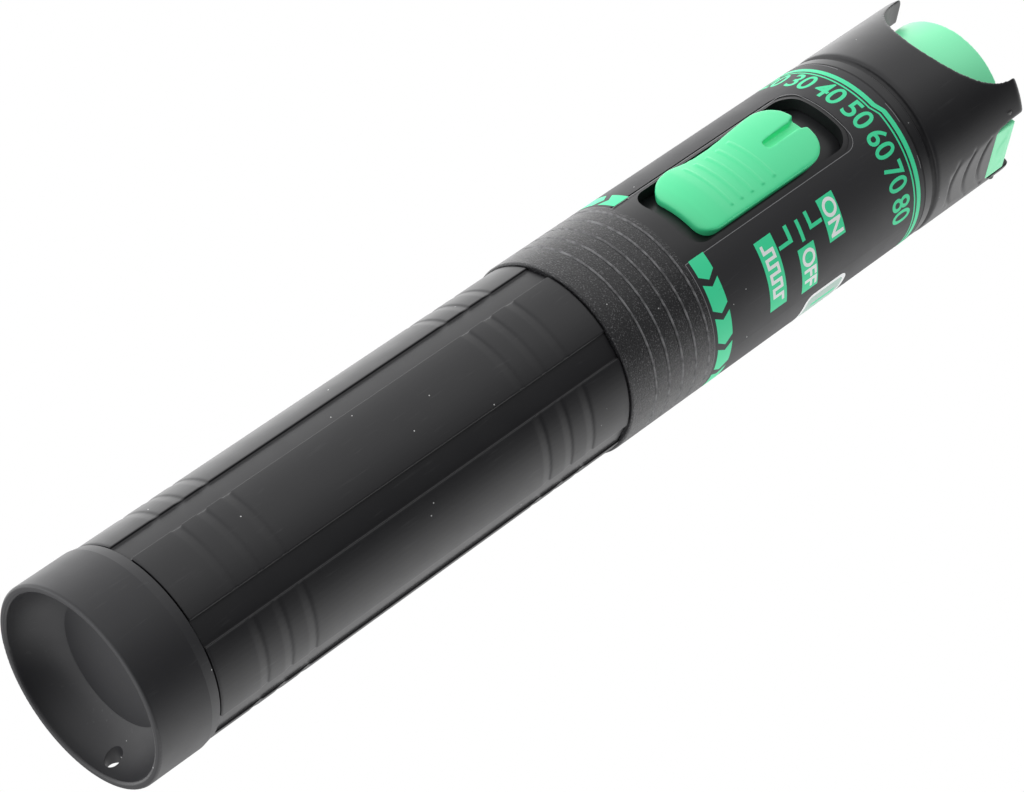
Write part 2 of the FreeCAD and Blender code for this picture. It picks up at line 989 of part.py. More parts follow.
def make_contact_stud(doc, s, z):
    """Plated rivet that meets the front cell's nub."""
    disc = z.contact + s.stud_height
    end = disc + s.contact_thickness
    return turned(
        doc,
        "contact_stud",
        [
            (0, z.contact),
            (s.stud_radius, z.contact),
            (s.stud_radius, disc),
            (s.stud_shank, disc),
            (s.stud_shank, end),
            (s.stud_radius * 0.8, end),
            (s.stud_radius * 0.8, end + s.stud_height),
            (0, end + s.stud_height),
        ],
    )


def make_optics(doc, s, z):
    """Brass holder with the laser can and lens, and the port barrel with its ceramic sleeve."""
    end = z.holder + s.holder_length
    can = z.holder + s.can_inset
    flange_end = can + s.can_flange_length
    can_end = can + s.can_length
    lens = can_end + s.lens_spacing
    lens_end = lens + s.lens_thickness
    lens_curve = (s.lens_radius * s.lens_radius + s.lens_rise * s.lens_rise) / (s.lens_rise * 2)
    holder = turned(
        doc,
        "laser_holder",
        [
            (s.can_flange_radius, z.holder),
            (s.holder_radius, z.holder),
            (s.holder_radius, end),
            (s.holder_bore, end),
            (s.holder_bore, flange_end),
            (s.can_flange_radius, flange_end),
        ],
    )
    laser = turned(
        doc,
        "laser_can",
        [
            (0, can),
            (s.can_flange_radius, can),
            (s.can_flange_radius, flange_end),
            (s.can_radius, flange_end),
            (s.can_radius, can_end),
            (0, can_end),
        ],
    )
    glass = turned(
        doc,
        "collimating_lens",
        [
            (0, lens),
            (s.lens_radius, lens),
            (s.lens_radius, lens_end, lens_curve),
            (0, lens_end + s.lens_rise),
        ],
    )
    sleeve_radius = s.ferrule_radius + s.sleeve_wall
    sleeve_end = z.port_end - s.sleeve_inset
    sleeve_start = sleeve_end - s.sleeve_length
    flange_start = z.spigot
    flange = flange_start + s.port_flange_length
    port = turned(
        doc,
        "port_barrel",
        [
            (s.beam_radius, flange_start),
            (s.port_flange_radius, flange_start),
            (s.port_flange_radius, flange),
            (s.port_radius, flange),
            (s.port_radius, z.port_end - s.port_edge),
            (s.port_radius - s.port_edge, z.port_end),
            (sleeve_radius, z.port_end),
            (sleeve_radius, sleeve_start),
            (s.beam_radius, sleeve_start),
        ],
    )
    sleeve = turned(
        doc,
        "alignment_sleeve",
        [
            (s.ferrule_radius, sleeve_start),
            (sleeve_radius, sleeve_start),
            (sleeve_radius, sleeve_end),
            (s.ferrule_radius, sleeve_end),
        ],
    )
    return [holder, laser, glass, port, sleeve]


def make_collar_ring(doc, s, r, z):
    """Plain ring clamped between the housing and the crown."""
    edge = s.grip_edge
    inside = r.housing_bore
    return turned(
        doc,
        "collar_ring",
        [
            (inside, z.collar),
            (r.collar - edge, z.collar),
            (r.collar, z.collar + edge),
            (r.collar, z.neck - edge),
            (r.collar - edge, z.neck),
            (inside, z.neck),
        ],
    )


def make_crown_guard(doc, s, r, z):
    """Guard round the port: scooped front and back into four ears, with a grooved panel each side."""
    spigot = r.housing_bore - s.crown_spigot_gap
    edge = s.grip_edge
    crown = turned(
        doc,
        "crown_guard",
        [
            (s.port_flange_radius, z.spigot),
            (spigot, z.spigot),
            (spigot, z.neck),
            (r.neck, z.neck),
            (r.neck, z.crown),
            (r.crown - edge, z.crown, edge),
            (r.crown, z.crown + edge),
            (r.crown, z.crown_end - s.ear_round, s.ear_round),
            (r.crown - s.ear_round, z.crown_end),
            (r.crown_bore + s.ear_lip_round, z.crown_end, s.ear_lip_round),
            (r.crown_bore, z.crown_end - s.ear_lip_round),
            (r.crown_bore, z.crown_floor),
            (s.port_radius, z.crown_floor),
            (s.port_radius, z.spigot + s.port_flange_length),
            (s.port_flange_radius, z.spigot + s.port_flange_length),
        ],
    )
    scoop = z.crown_end - s.scoop_inset
    pocket_through(
        crown, "XZ_Plane", lambda sketch: draw_circle(sketch, 0, scoop, s.scoop_radius)
    )
    _cut_panels(crown, s, r, z)
    return crown


def _cut_panels(crown, s, r, z):
    """Flats on both sides, their curved grooves, and the notch that the cap's lug lies in."""
    start = z.crown + s.crown_length - s.panel_start
    face = r.crown - s.panel_depth
    end = z.crown_end + s.ear_round
    flat = pocket_through(
        crown,
        "XZ_Plane",
        lambda sketch: draw_outline(
            sketch,
            [(face, start), (FAR, start), (FAR, end), (face - s.panel_taper, end)],
        ),
    )
    cuts = [flat]
    reach = s.panel_groove_radius
    half = s.panel_groove_width / 2
    wing = reach * 0.7
    drop = reach * 0.714143
    for index in range(int(s.panel_groove_count.value)):
        centre = start + s.panel_groove_first + s.panel_groove_pitch * index + reach
        outer = (reach + half) / reach
        inner = (reach - half) / reach
        groove = pocket(
            crown,
            "YZ_Plane",
            face - s.panel_taper * (index * 0.2 + 0.05) - s.panel_groove_depth,
            lambda sketch: draw_outline(
                sketch,
                [
                    (-(wing * outer), centre - drop * outer, reach + half),
                    (wing * outer, centre - drop * outer),
                    (wing * inner, centre - drop * inner, -(reach - half)),
                    (-(wing * inner), centre - drop * inner),
                ],
            ),
            FAR,
        )
        cuts.append(groove)
    side = s.notch_width / 2
    bottom = z.crown_end - s.notch_depth
    notch = pocket(
        crown,
        "YZ_Plane",
        ZERO,
        lambda sketch: draw_outline(
            sketch,
            [
                (-side, bottom + s.ear_round, s.ear_round),
                (s.ear_round - side, bottom),
                (side - s.ear_round, bottom, s.ear_round),
                (side, bottom + s.ear_round),
                (side, end),
                (-side, end),
            ],
        ),
        FAR,
    )
    cuts.append(notch)
    mirror_across(crown, cuts, "YZ_Plane")


def make_dust_cap(doc, s, r, z):
    """Hollow green cap over the port, with a knuckle that turns on the pin."""
    cap_round = s.cap_round
    shell = turned(
        doc,
        "dust_cap_shell",
        [
            (r.cap_bore, z.cap),
            (r.cap, z.cap),
            (r.cap, z.cap_end - cap_round, cap_round),
            (r.cap - cap_round, z.cap_end),
            (0, z.cap_end),
            (0, z.cap_end - s.cap_roof),
            (r.cap_bore, z.cap_end - s.cap_roof),
        ],
    )
    bore = s.pin_radius + s.pin_clearance
    root = r.cap_bore + (r.cap - r.cap_bore) / 2
    half = s.lug_thickness / 2
    lug = padded(
        doc,
        "dust_cap_lug",
        "XZ_Plane",
        -(s.lug_width / 2),
        lambda sketch: draw_outline(
            sketch,
            [(root, z.pin - half), (r.pin, z.pin - half), (r.pin, z.pin + half), (root, z.pin + half)],
        ),
        s.lug_width,
    )
    add_pad(
        lug,
        "XZ_Plane",
        -(s.lug_width / 2),
        lambda sketch: draw_circle(sketch, r.pin, z.pin, s.knuckle_radius),
        s.lug_width,
    )
    side = s.tab_half_width
    tip = z.pin - s.tab_drop
    add_pad(
        lug,
        "YZ_Plane",
        r.pin + s.knuckle_radius - s.tab_thickness,
        lambda sketch: draw_outline(
            sketch,
            [(-side, z.pin), (-side, tip + side, side * 1.02), (side, tip + side), (side, z.pin)],
        ),
        s.tab_thickness,
    )
    pocket_through(
        lug, "XZ_Plane", lambda sketch: draw_circle(sketch, r.pin, z.pin, bore)
    )
    cap = doc.addObject("Part::Fuse", "dust_cap")
    cap.Base, cap.Tool = shell, lug
    cap.Label = "dust_cap"
    return cap


def make_hinge_pin(doc, s, r, z):
    """Steel pin across the notch, held in the two ears."""
    length = s.notch_width + s.pin_embed * 2
    return cylinder(
        doc, "hinge_pin", s.pin_radius, length, r.pin, length / 2, z.pin,
        Rotation(Vector(1, 0, 0), 90),
    )


def drill_crown(doc, s, r, z, crown):
    """The crown with the pin's hole through its ears on the hinge side."""
    length = s.notch_width + s.pin_embed * 2
    hole = cylinder(
        doc, "pin_hole", s.pin_radius, length, r.pin, length / 2, z.pin,
        Rotation(Vector(1, 0, 0), 90),
    )
    crown.Label = "crown_blank"
    drilled = doc.addObject("Part::Cut", "crown_guard")
    drilled.Base, drilled.Tool = crown, hole
    drilled.Label = "crown_guard"
    return drilled


def make_seal_ring(doc, s, r, z):
    """Rubber ring in the spigot's groove that seals the screwed joint."""
    outside = r.thread + s.thread_clearance - s.seal_clearance
    inside = r.thread - s.seal_section + s.seal_clearance
    end = z.housing - s.seal_inset - s.seal_clearance
    edge = s.seal_section / 4
    start = end - s.seal_section
    return turned(
        doc,
        "seal_ring",
        [
            (inside, start + edge),
            (inside + edge, start),
            (outside - edge, start),
            (outside, start + edge),
            (outside, end - edge),
            (outside - edge, end),
            (inside + edge, end),
            (inside, end - edge),
        ],
    )


def make_spring_plate(doc, s, r, z):
    return cylinder(doc, "spring_plate", r.tube_bore, s.plate_thickness, z=z.cup_floor)


def check_cuts(body):
    """A pocket or groove that misses its solid leaves the volume as it was."""
    for feature in body.Group:
        base = getattr(feature, "BaseFeature", None)
        cuts = feature.TypeId in ("PartDesign::Pocket", "PartDesign::Groove")
        if hasattr(feature, "Shape") and feature.TypeId != "App::Origin" and feature.Shape.isNull():
            raise RuntimeError(f"{body.Label}: {feature.Name} is empty")
        if cuts and base and not feature.Shape.Volume < base.Shape.Volume:
            raise RuntimeError(f"{body.Label}: {feature.Name} cuts nothing")


def check_document(doc, nodes):
    for item in doc.Objects:
        if "Invalid" in item.State or "Error" in item.State:
            raise RuntimeError(f"{item.Label} failed: {item.State}")
        if item.TypeId == "PartDesign::Body":
            check_cuts(item)
    for node in nodes:
        if node.Shape.isNull() or not node.Shape.isValid() or not node.Shape.Solids:
            raise RuntimeError(f"{node.Label} has no valid solid")


def main():
    doc = FreeCAD.newDocument("visual_fault_locator")
    s = write_sheet(doc)
    r = radii(s)
    z = levels(s)
    nodes = [
        make_tail_cup(doc, s, r, z),
        make_grip_sleeve(doc, s, r, z),
        make_battery_tube(doc, s, r, z),
        make_spring_plate(doc, s, r, z),
        make_tail_spring(doc, s, z),
        make_cell(doc, s, "cell_rear", z.cell_rear),
        make_cell(doc, s, "cell_front", z.cell_front),
        make_seal_ring(doc, s, r, z),
        make_front_housing(doc, s, r, z),
        make_label_film(doc, s, r, z),
        make_thumb_slider(doc, s, r, z),
        make_slider_shutter(doc, s, r, z),
        make_switch_lever(doc, s, r, z),
        cut_screw_holes(doc, s, r, z, "inner_carrier", make_inner_carrier(doc, s, r, z)),
        cut_screw_holes(doc, s, r, z, "circuit_board", make_circuit_board(doc, s, r, z)),
        make_slide_switch(doc, s, r, z),
        make_control_chip(doc, s, r, z),
        make_board_screws(doc, s, r, z),
        make_contact_disc(doc, s, r, z),
        make_contact_stud(doc, s, z),
        *make_optics(doc, s, z),
        make_collar_ring(doc, s, r, z),
        drill_crown(doc, s, r, z, make_crown_guard(doc, s, r, z)),
        make_dust_cap(doc, s, r, z),
        make_hinge_pin(doc, s, r, z),
    ]
    doc.recompute()
    check_document(doc, nodes)
    os.makedirs("parts", exist_ok=True)
    for node in nodes:
        node.Shape.exportStep(f"parts/{node.Label}.step")
        bounds = node.Shape.BoundBox
        print(
            f"{node.Label:18s} solids {len(node.Shape.Solids)}  volume {node.Shape.Volume:9.2f}"
            f"  z {bounds.ZMin:7.2f} to {bounds.ZMax:7.2f}"
        )


main()
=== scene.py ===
import logging
import math
from dataclasses import dataclass, field
from enum import Enum

import bpy
from mathutils import Matrix, Vector


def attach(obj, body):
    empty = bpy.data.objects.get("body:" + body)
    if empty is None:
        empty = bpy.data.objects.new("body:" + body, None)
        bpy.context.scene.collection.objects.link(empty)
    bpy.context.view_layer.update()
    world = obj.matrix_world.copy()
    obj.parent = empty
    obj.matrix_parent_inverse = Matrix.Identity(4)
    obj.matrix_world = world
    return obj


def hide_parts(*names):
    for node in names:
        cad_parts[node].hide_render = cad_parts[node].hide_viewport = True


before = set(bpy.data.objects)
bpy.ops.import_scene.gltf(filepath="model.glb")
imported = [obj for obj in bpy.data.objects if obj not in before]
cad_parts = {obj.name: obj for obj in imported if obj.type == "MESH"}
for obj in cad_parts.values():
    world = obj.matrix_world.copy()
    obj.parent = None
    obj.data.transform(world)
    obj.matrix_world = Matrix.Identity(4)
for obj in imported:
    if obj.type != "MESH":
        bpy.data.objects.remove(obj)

LOG = logging.getLogger("fault_locator")
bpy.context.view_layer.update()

# The grip's axis is the Z axis. Prints are laid out flat, with u along the arc from the slider's
# line towards +X and z along the axis, and are then rolled onto the barrel.
MM = 0.001
BARREL_RADIUS = 14.85 * MM
PER_DEGREE = BARREL_RADIUS * math.pi / 180
WELD = 0.002 * MM
CREASE_ANGLE = math.radians(60)

Colour = tuple[float, float, float]
Point = tuple[float, float]


# ---------------------------------------------------------------- mesh helpers


def deselect_all() -> None:
    """Leaves nothing selected and no edit mode open."""
    if bpy.context.mode != "OBJECT":
        bpy.ops.object.mode_set(mode="OBJECT")
    bpy.ops.object.select_all(action="DESELECT")


def make_active(piece: bpy.types.Object) -> None:
    """Selects one object alone and makes it active.

    Args:
        piece: the object.
    """
    deselect_all()
    piece.select_set(True)
    bpy.context.view_layer.objects.active = piece


def bake_place(piece: bpy.types.Object) -> None:
    """Moves the object's own place into its mesh."""
    make_active(piece)
    bpy.ops.object.transform_apply(location=True, rotation=True, scale=True)


def apply_modifiers(piece: bpy.types.Object) -> None:
    """Applies every modifier in its order.

    Args:
        piece: the object that holds them.
    """
    make_active(piece)
    for modifier in list(piece.modifiers):
        bpy.ops.object.modifier_apply(modifier=modifier.name)


def merge_and_face_out(piece: bpy.types.Object) -> None:
    """Merges doubled points and turns all faces outwards.

    Args:
        piece: the object, a closed shell or several.
    """
    make_active(piece)
    bpy.ops.object.mode_set(mode="EDIT")
    bpy.ops.mesh.select_all(action="SELECT")
    bpy.ops.mesh.remove_doubles(threshold=WELD)
    bpy.ops.mesh.normals_make_consistent(inside=False)
    bpy.ops.object.mode_set(mode="OBJECT")


def join(name: str, parts: list[bpy.types.Object]) -> bpy.types.Object:
    """Joins several objects into one mesh.

    Args:
        name: the joined piece's name.
        parts: the objects, of which the first is kept.

    Returns:
        The joined object.
    """
    make_active(parts[0])
    for part in parts[1:]:
        part.select_set(True)
    bpy.ops.object.join()
    parts[0].name = name
    return parts[0]


def block(corner: Vector, opposite: Vector) -> bpy.types.Object:
    """An upright box.

    Args:
        corner: any corner.
        opposite: the corner opposite to it.

    Returns:
        The closed box.
    """
    deselect_all()
    bpy.ops.mesh.primitive_cube_add(size=1.0, location=(corner + opposite) / 2)
    piece = bpy.context.object
    piece.scale = [abs(end - start) for start, end in zip(corner, opposite)]
    bake_place(piece)
    return piece


def drum(radius: float, low: float, high: float, facets: int) -> bpy.types.Object:
    """A cylinder on the grip's axis.

    Args:
        radius: its radius.
        low: the height of its tail end.
        high: the height of its head end.
        facets: how many sides it is drawn with.

    Returns:
        The closed cylinder.
    """
    deselect_all()
    bpy.ops.mesh.primitive_cylinder_add(
        vertices=facets, radius=radius, depth=high - low, location=(0.0, 0.0, (low + high) / 2)
    )
    piece = bpy.context.object
    bake_place(piece)
    return piece


class Plane(Enum):
    """The plane that a prism's outline lies in."""

    PLAN = "outline in u and z, drawn through the slab's depth"
    SIDE = "outline in depth and z, drawn across the slab"


def prism(outline: list[Point], plane: Plane, low: float, high: float) -> bpy.types.Object:
    """A straight prism over an outline.

    Args:
        outline: corners in order, as (u, z) or (depth, z).
        plane: which plane the corners lie in.
        low: where the prism starts along its length.
        high: where it ends.

    Returns:
        The closed prism.
    """
    deselect_all()
    bpy.ops.mesh.primitive_circle_add(vertices=len(outline), radius=0.01, fill_type="NGON")
    piece = bpy.context.object
    for vertex, (across, z) in zip(piece.data.vertices, outline):
        vertex.co = (across, low, z) if plane is Plane.PLAN else (low, across, z)
    run = (0.0, high - low, 0.0) if plane is Plane.PLAN else (high - low, 0.0, 0.0)
    bpy.ops.object.mode_set(mode="EDIT")
    bpy.ops.mesh.select_all(action="SELECT")
    bpy.ops.mesh.extrude_region_move(TRANSFORM_OT_translate={"value": run})
    bpy.ops.object.mode_set(mode="OBJECT")
    merge_and_face_out(piece)
    return piece


def rounded(low: Point, high: Point, tail: float, head: float) -> list[Point]:
    """The outline of an upright box with rounded corners.

    Args:
        low: the corner nearest the tail, as (u, z).
        high: the corner nearest the head.
        tail: radius of the two tail corners.
        head: radius of the two head corners.

    Returns:
        The outline's points in order.
    """
    steps = 8
    outline: list[Point] = []
    for cu, cz, radius, start in (
        (high[0] - head, high[1] - head, head, 0), (low[0] + head, high[1] - head, head, 90),
        (low[0] + tail, low[1] + tail, tail, 180), (high[0] - tail, low[1] + tail, tail, 270),
    ):
        for step in range(steps + 1):
            angle = math.radians(start + 90 * step / steps)
            outline.append((cu + radius * math.cos(angle), cz + radius * math.sin(angle)))
    return outline


class Overlap(Enum):
    """What happens to the part of a piece that a tool overlaps."""

    KEPT = "INTERSECT"
    REMOVED = "DIFFERENCE"


def combine(piece: bpy.types.Object, tool: bpy.types.Object, overlap: Overlap) -> None:
    """Applies a boolean with another object, which is used up.

    Args:
        piece: the object that stays.
        tool: the object that it is cut with.
        overlap: whether what both share is kept or removed.
    """
    cut = piece.modifiers.new("combine", "BOOLEAN")
    cut.operation = overlap.value
    cut.solver = "EXACT"
    cut.object = tool
    apply_modifiers(piece)
    bpy.data.objects.remove(tool, do_unlink=True)


def soften(piece: bpy.types.Object, voxel: float, passes: int) -> None:
    """Rebuilds the surface evenly and rounds its edges.

    Args:
        piece: a closed mesh, or several that overlap.
        voxel: the spacing of the new surface.
        passes: how often it is smoothed, which sets the rounding.
    """
    rebuild = piece.modifiers.new("rebuild", "REMESH")
    rebuild.mode = "VOXEL"
    rebuild.voxel_size = voxel
    relax = piece.modifiers.new("relax", "SMOOTH")
    relax.factor = 0.5
    relax.iterations = passes
    apply_modifiers(piece)


def thin(piece: bpy.types.Object, share: float) -> None:
    """Keeps only a share of the faces, with the form held.

    Args:
        piece: the object.
        share: how many of its faces stay, from 0 to 1.
    """
    fewer = piece.modifiers.new("thin", "DECIMATE")
    fewer.ratio = share
    apply_modifiers(piece)


def roll(piece: bpy.types.Object) -> None:
    """Bends a flat slab round the barrel.

    Args:
        piece: the slab, with u = 0 where the slider's line will be.
    """
    places = [vertex.co.x for vertex in piece.data.vertices]
    bend = piece.modifiers.new("roll", "SIMPLE_DEFORM")
    bend.deform_method = "BEND"
    bend.deform_axis = "Z"
    bend.angle = (max(places) - min(places)) / BARREL_RADIUS
    apply_modifiers(piece)
    piece.location = (0.0, -BARREL_RADIUS, 0.0)
    bake_place(piece)


def copy_of(node: str, name: str) -> bpy.types.Object:
    """A merged copy of a CAD node's mesh, as a piece of its own.

    Args:
        node: the node's name.
        name: the copy's name.

    Returns:
        The copy.
    """
    piece = bpy.data.objects.new(name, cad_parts[node].data.copy())
    bpy.context.scene.collection.objects.link(piece)
    merge_and_face_out(piece)
    return piece


def smooth(piece: bpy.types.Object) -> None:
    """Shades the piece smooth, with its sharp creases kept."""
    make_active(piece)
    bpy.ops.object.shade_smooth_by_angle(angle=CREASE_ANGLE)


# ---------------------------------------------------------------- node groups


class Nodes:
    """A thin layer over a node tree that adds, sets and links nodes."""

    def __init__(self, tree: bpy.types.NodeTree) -> None:
        """Keeps the tree and empties it."""
        self.tree = tree
        tree.nodes.clear()

    def add(self, kind: str, **settings: object) -> bpy.types.Node:
        """Adds a node.

        Args:
            kind: the node's type.
            settings: its properties.

        Returns:
            The node.
        """
        node = self.tree.nodes.new(kind)
        for name, value in settings.items():
            setattr(node, name, value)
        return node

    def link(self, source: bpy.types.NodeSocket, target: bpy.types.NodeSocket) -> None:
        """Joins an output to an input."""
        self.tree.links.new(source, target)

    def feed(self, target: bpy.types.NodeSocket, value: object) -> None:
        """Links a socket or sets a constant.

        Args:
            target: the input to fill.
            value: an output socket, a number or a colour.
        """
        if isinstance(value, bpy.types.NodeSocket):
            self.link(value, target)
        elif isinstance(value, tuple) and target.type == "RGBA" and len(value) == 3:
            target.default_value = (*value, 1.0)
        else:
            target.default_value = value

    def math(self, operation: str, *values: object) -> bpy.types.NodeSocket:
        """A Math node.

        Args:
            operation: what it works out.
            values: its numbers or sockets, in order.

        Returns:
            The result's socket.
        """
        node = self.add("ShaderNodeMath", operation=operation)
        for socket, value in zip(node.inputs, values):
            self.feed(socket, value)
        return node.outputs[0]

    def ramp(
        self, value: bpy.types.NodeSocket, stops: list[tuple[float, float]]
    ) -> bpy.types.NodeSocket:
        """A grey ramp.

        Args:
            value: the socket that drives it.
            stops: (position, brightness) pairs in order.

        Returns:
            The ramp's colour output.
        """
        node = self.add("ShaderNodeValToRGB")
        self.link(value, node.inputs[0])
        elements = node.color_ramp.elements
        while len(elements) < len(stops):
            elements.new(1.0)
        for element, (position, level) in zip(elements, stops):
            element.position = position
            element.color = (level, level, level, 1.0)
        return node.outputs[0]

    def mix(self, share: object, first: object, second: object) -> bpy.types.NodeSocket:
        """A mix of two colours.

        Args:
            share: how much of the second shows, from 0 to 1.
            first: the first colour.
            second: the second colour.

        Returns:
            The mixed colour's socket.
        """
        node = self.add("ShaderNodeMix", data_type="RGBA")
        self.feed(node.inputs[0], share)
        self.feed(node.inputs[6], first)
        self.feed(node.inputs[7], second)
        return node.outputs[2]

    def close(self, shader: bpy.types.NodeSocket, kind: str = "ShaderNodeOutputMaterial") -> None:
        """Ends the tree with its output node."""
        self.link(shader, self.add(kind).inputs["Surface"])

    def place(self) -> bpy.types.NodeSocket:
        """The point's own place in the frame, in metres."""
        return self.add("ShaderNodeTexCoord").outputs["Object"]

    def noise(
        self, vector: bpy.types.NodeSocket, scale: object, detail: float = 3.0
    ) -> bpy.types.NodeSocket:
        """A noise value from 0 to 1.

        Args:
            vector: the place that is read.
            scale: the noise's scale, per metre.
            detail: how many finer layers it has.

        Returns:
            The value's socket.
        """
        node = self.add("ShaderNodeTexNoise")
        self.link(vector, node.inputs["Vector"])
        self.feed(node.inputs["Scale"], scale)
        node.inputs["Detail"].default_value = detail
        return node.outputs["Fac"]


def new_material(name: str) -> tuple[bpy.types.Material, Nodes]:
    """Starts a material.

    Args:
        name: its name.

    Returns:
        The material, and the helper that adds its nodes.
    """
    material = bpy.data.materials.new(name)
    material.use_nodes = True
    return material, Nodes(material.node_tree)


Sockets = dict[str, bpy.types.NodeSocket]


def new_group(
    name: str, inputs: dict[str, float], outputs: tuple[str, ...]
) -> tuple[Nodes, Sockets, Sockets]:
    """An empty shader group with named number sockets.

    Args:
        name: the group's name.
        inputs: each input's name and default.
        outputs: the outputs' names.

    Returns:
        The group's nodes, its input sockets and its output sockets.
    """
    tree = bpy.data.node_groups.new(name, "ShaderNodeTree")
    for label, default in inputs.items():
        socket = tree.interface.new_socket(name=label, in_out="INPUT", socket_type="NodeSocketFloat")
        socket.default_value = default
    for label in outputs:
        tree.interface.new_socket(name=label, in_out="OUTPUT", socket_type="NodeSocketFloat")
    nodes = Nodes(tree)
    entry = nodes.add("NodeGroupInput")
    leave = nodes.add("NodeGroupOutput")
    return nodes, {s.name: s for s in entry.outputs}, {s.name: s for s in leave.inputs}


class SharedEffects:
    """Surface effects that several finishes use, each built once. Scales are per metre."""

    slow_scale = 90.0
    patch_scale = 260.0
    speck_scale = 420.0
    speck_size = 0.042
    speck_zone_scale = 130.0
    speck_zone_level = 0.54
    sand_scale = 4300.0
    sand_height = 9.0
    sparkle_scale = 5200.0
    sparkle_share = 0.4
    lip_break_scale = 900.0
    hair_scale = 1900.0
    hair_stretch = 0.09
    cloud_scale = 150.0

    def __init__(self) -> None:
        """Builds the groups."""
        self.skin = self._skin()
        self.lint = self._lint()
        self.rubbed = self._rubbed()
        self.sand = self._sand()

    def _skin(self) -> bpy.types.NodeTree:
        """Moulded skin: a fine sparkle grain over a slow unevenness.

        Returns:
            The group, which gives a height and a patchy mask.
        """
        nodes, given, made = new_group(
            "moulded_skin",
            {"Grain Size": 9000.0, "Grain": 0.5, "Unevenness": 0.5},
            ("Height", "Patches"),
        )
        place = nodes.place()
        grain = nodes.noise(place, given["Grain Size"], 2.0)
        slow = nodes.noise(place, self.slow_scale, 2.0)
        fine = nodes.math("MULTIPLY", grain, given["Grain"])
        broad = nodes.math("MULTIPLY", slow, given["Unevenness"])
        nodes.link(nodes.math("ADD", fine, broad), made["Height"])
        nodes.link(nodes.noise(place, self.patch_scale, 5.0), made["Patches"])
        return nodes.tree

    def _lint(self) -> bpy.types.NodeTree:
        """Specks of pale dust, sparse and of mixed sizes.

        Returns:
            The group, which gives a mask.
        """
        nodes, given, made = new_group("lint_specks", {"Density": 1.0}, ("Mask",))
        place = nodes.place()
        cells = nodes.add("ShaderNodeTexVoronoi", feature="F1")
        nodes.link(place, cells.inputs["Vector"])
        cells.inputs["Scale"].default_value = self.speck_scale
        near = nodes.math("LESS_THAN", cells.outputs["Distance"], self.speck_size)
        zones = nodes.noise(place, self.speck_zone_scale, 1.0)
        pick = nodes.math("GREATER_THAN", zones, self.speck_zone_level)
        both = nodes.math("MULTIPLY", near, pick)
        nodes.link(nodes.math("MULTIPLY", both, given["Density"]), made["Mask"])
        return nodes.tree

    def _sand(self) -> bpy.types.NodeTree:
        """A coarse sandy band up to one height, with painted glints on its grains and painted highlight
        lines on the groove lips.

        Returns:
            The group.
        """
        nodes, given, made = new_group(
            "sandy_band",
            {"End": 0.102, "First Lip": 0.09, "Lip Pitch": 0.0027, "Lip Width": 0.0001},
            ("Height", "Painted Highlights"),
        )
        place = nodes.place()
        parts = nodes.add("ShaderNodeSeparateXYZ")
        nodes.link(place, parts.inputs[0])
        zone = nodes.math("LESS_THAN", parts.outputs["Z"], given["End"])
        sand = nodes.math("MULTIPLY", nodes.noise(place, self.sand_scale, 3.0), self.sand_height)
        nodes.link(nodes.math("MULTIPLY", sand, zone), made["Height"])
        # Painted glints: scattered grains of the sand are lightened towards grey.
        grains = nodes.ramp(nodes.noise(place, self.sparkle_scale, 2.0), [(0.56, 0.0), (0.68, 0.85)])
        # Painted highlight: a thin light line along each groove's lip, broken up by noise.
        step = nodes.math("SUBTRACT", parts.outputs["Z"], given["First Lip"])
        turn = nodes.math("FRACT", nodes.math("DIVIDE", step, given["Lip Pitch"]))
        lip = nodes.math("LESS_THAN", turn, nodes.math("DIVIDE", given["Lip Width"], given["Lip Pitch"]))
        after = nodes.math("MULTIPLY", lip, nodes.math("GREATER_THAN", step, 0.0))
        broken = nodes.ramp(nodes.noise(place, self.lip_break_scale, 3.0), [(0.38, 0.4), (0.62, 0.95)])
        faint = nodes.math("MULTIPLY", grains, self.sparkle_share)
        bright = nodes.math("MAXIMUM", faint, nodes.math("MULTIPLY", after, broken))
        nodes.link(nodes.math("MULTIPLY", bright, zone), made["Painted Highlights"])
        return nodes.tree

    def _rubbed(self) -> bpy.types.NodeTree:
        """Faint cloudy rubbing and hair scratches.

        Returns:
            The group, which gives a mask.
        """
        nodes, given, made = new_group("rubbed_places", {"Strength": 0.5}, ("Mask",))
        place = nodes.place()
        stretch = nodes.add("ShaderNodeMapping")
        nodes.link(place, stretch.inputs["Vector"])
        stretch.inputs["Scale"].default_value = (1.0, 1.0, self.hair_stretch)
        stretch.inputs["Rotation"].default_value = (0.2, 0.1, 0.0)
        long_grain = nodes.noise(stretch.outputs[0], self.hair_scale, 4.0)
        hairs = nodes.ramp(long_grain, [(0.62, 0.0), (0.7, 1.0)])
        cloud = nodes.ramp(nodes.noise(place, self.cloud_scale, 4.0), [(0.45, 0.0), (0.75, 1.0)])
        both = nodes.math("MULTIPLY", hairs, cloud)
        nodes.link(nodes.math("MULTIPLY", both, given["Strength"]), made["Mask"])
        return nodes.tree


# ---------------------------------------------------------------- finishes

DUST: Colour = (0.62, 0.62, 0.62)
# The light grey that the painted highlights on the sandy band are mixed towards.
PAINTED_HIGHLIGHT_GREY: Colour = (0.34, 0.34, 0.35)
GRAIN_DEPTH = 0.05 * MM
TOOL_LINE_DEPTH = 0.01 * MM


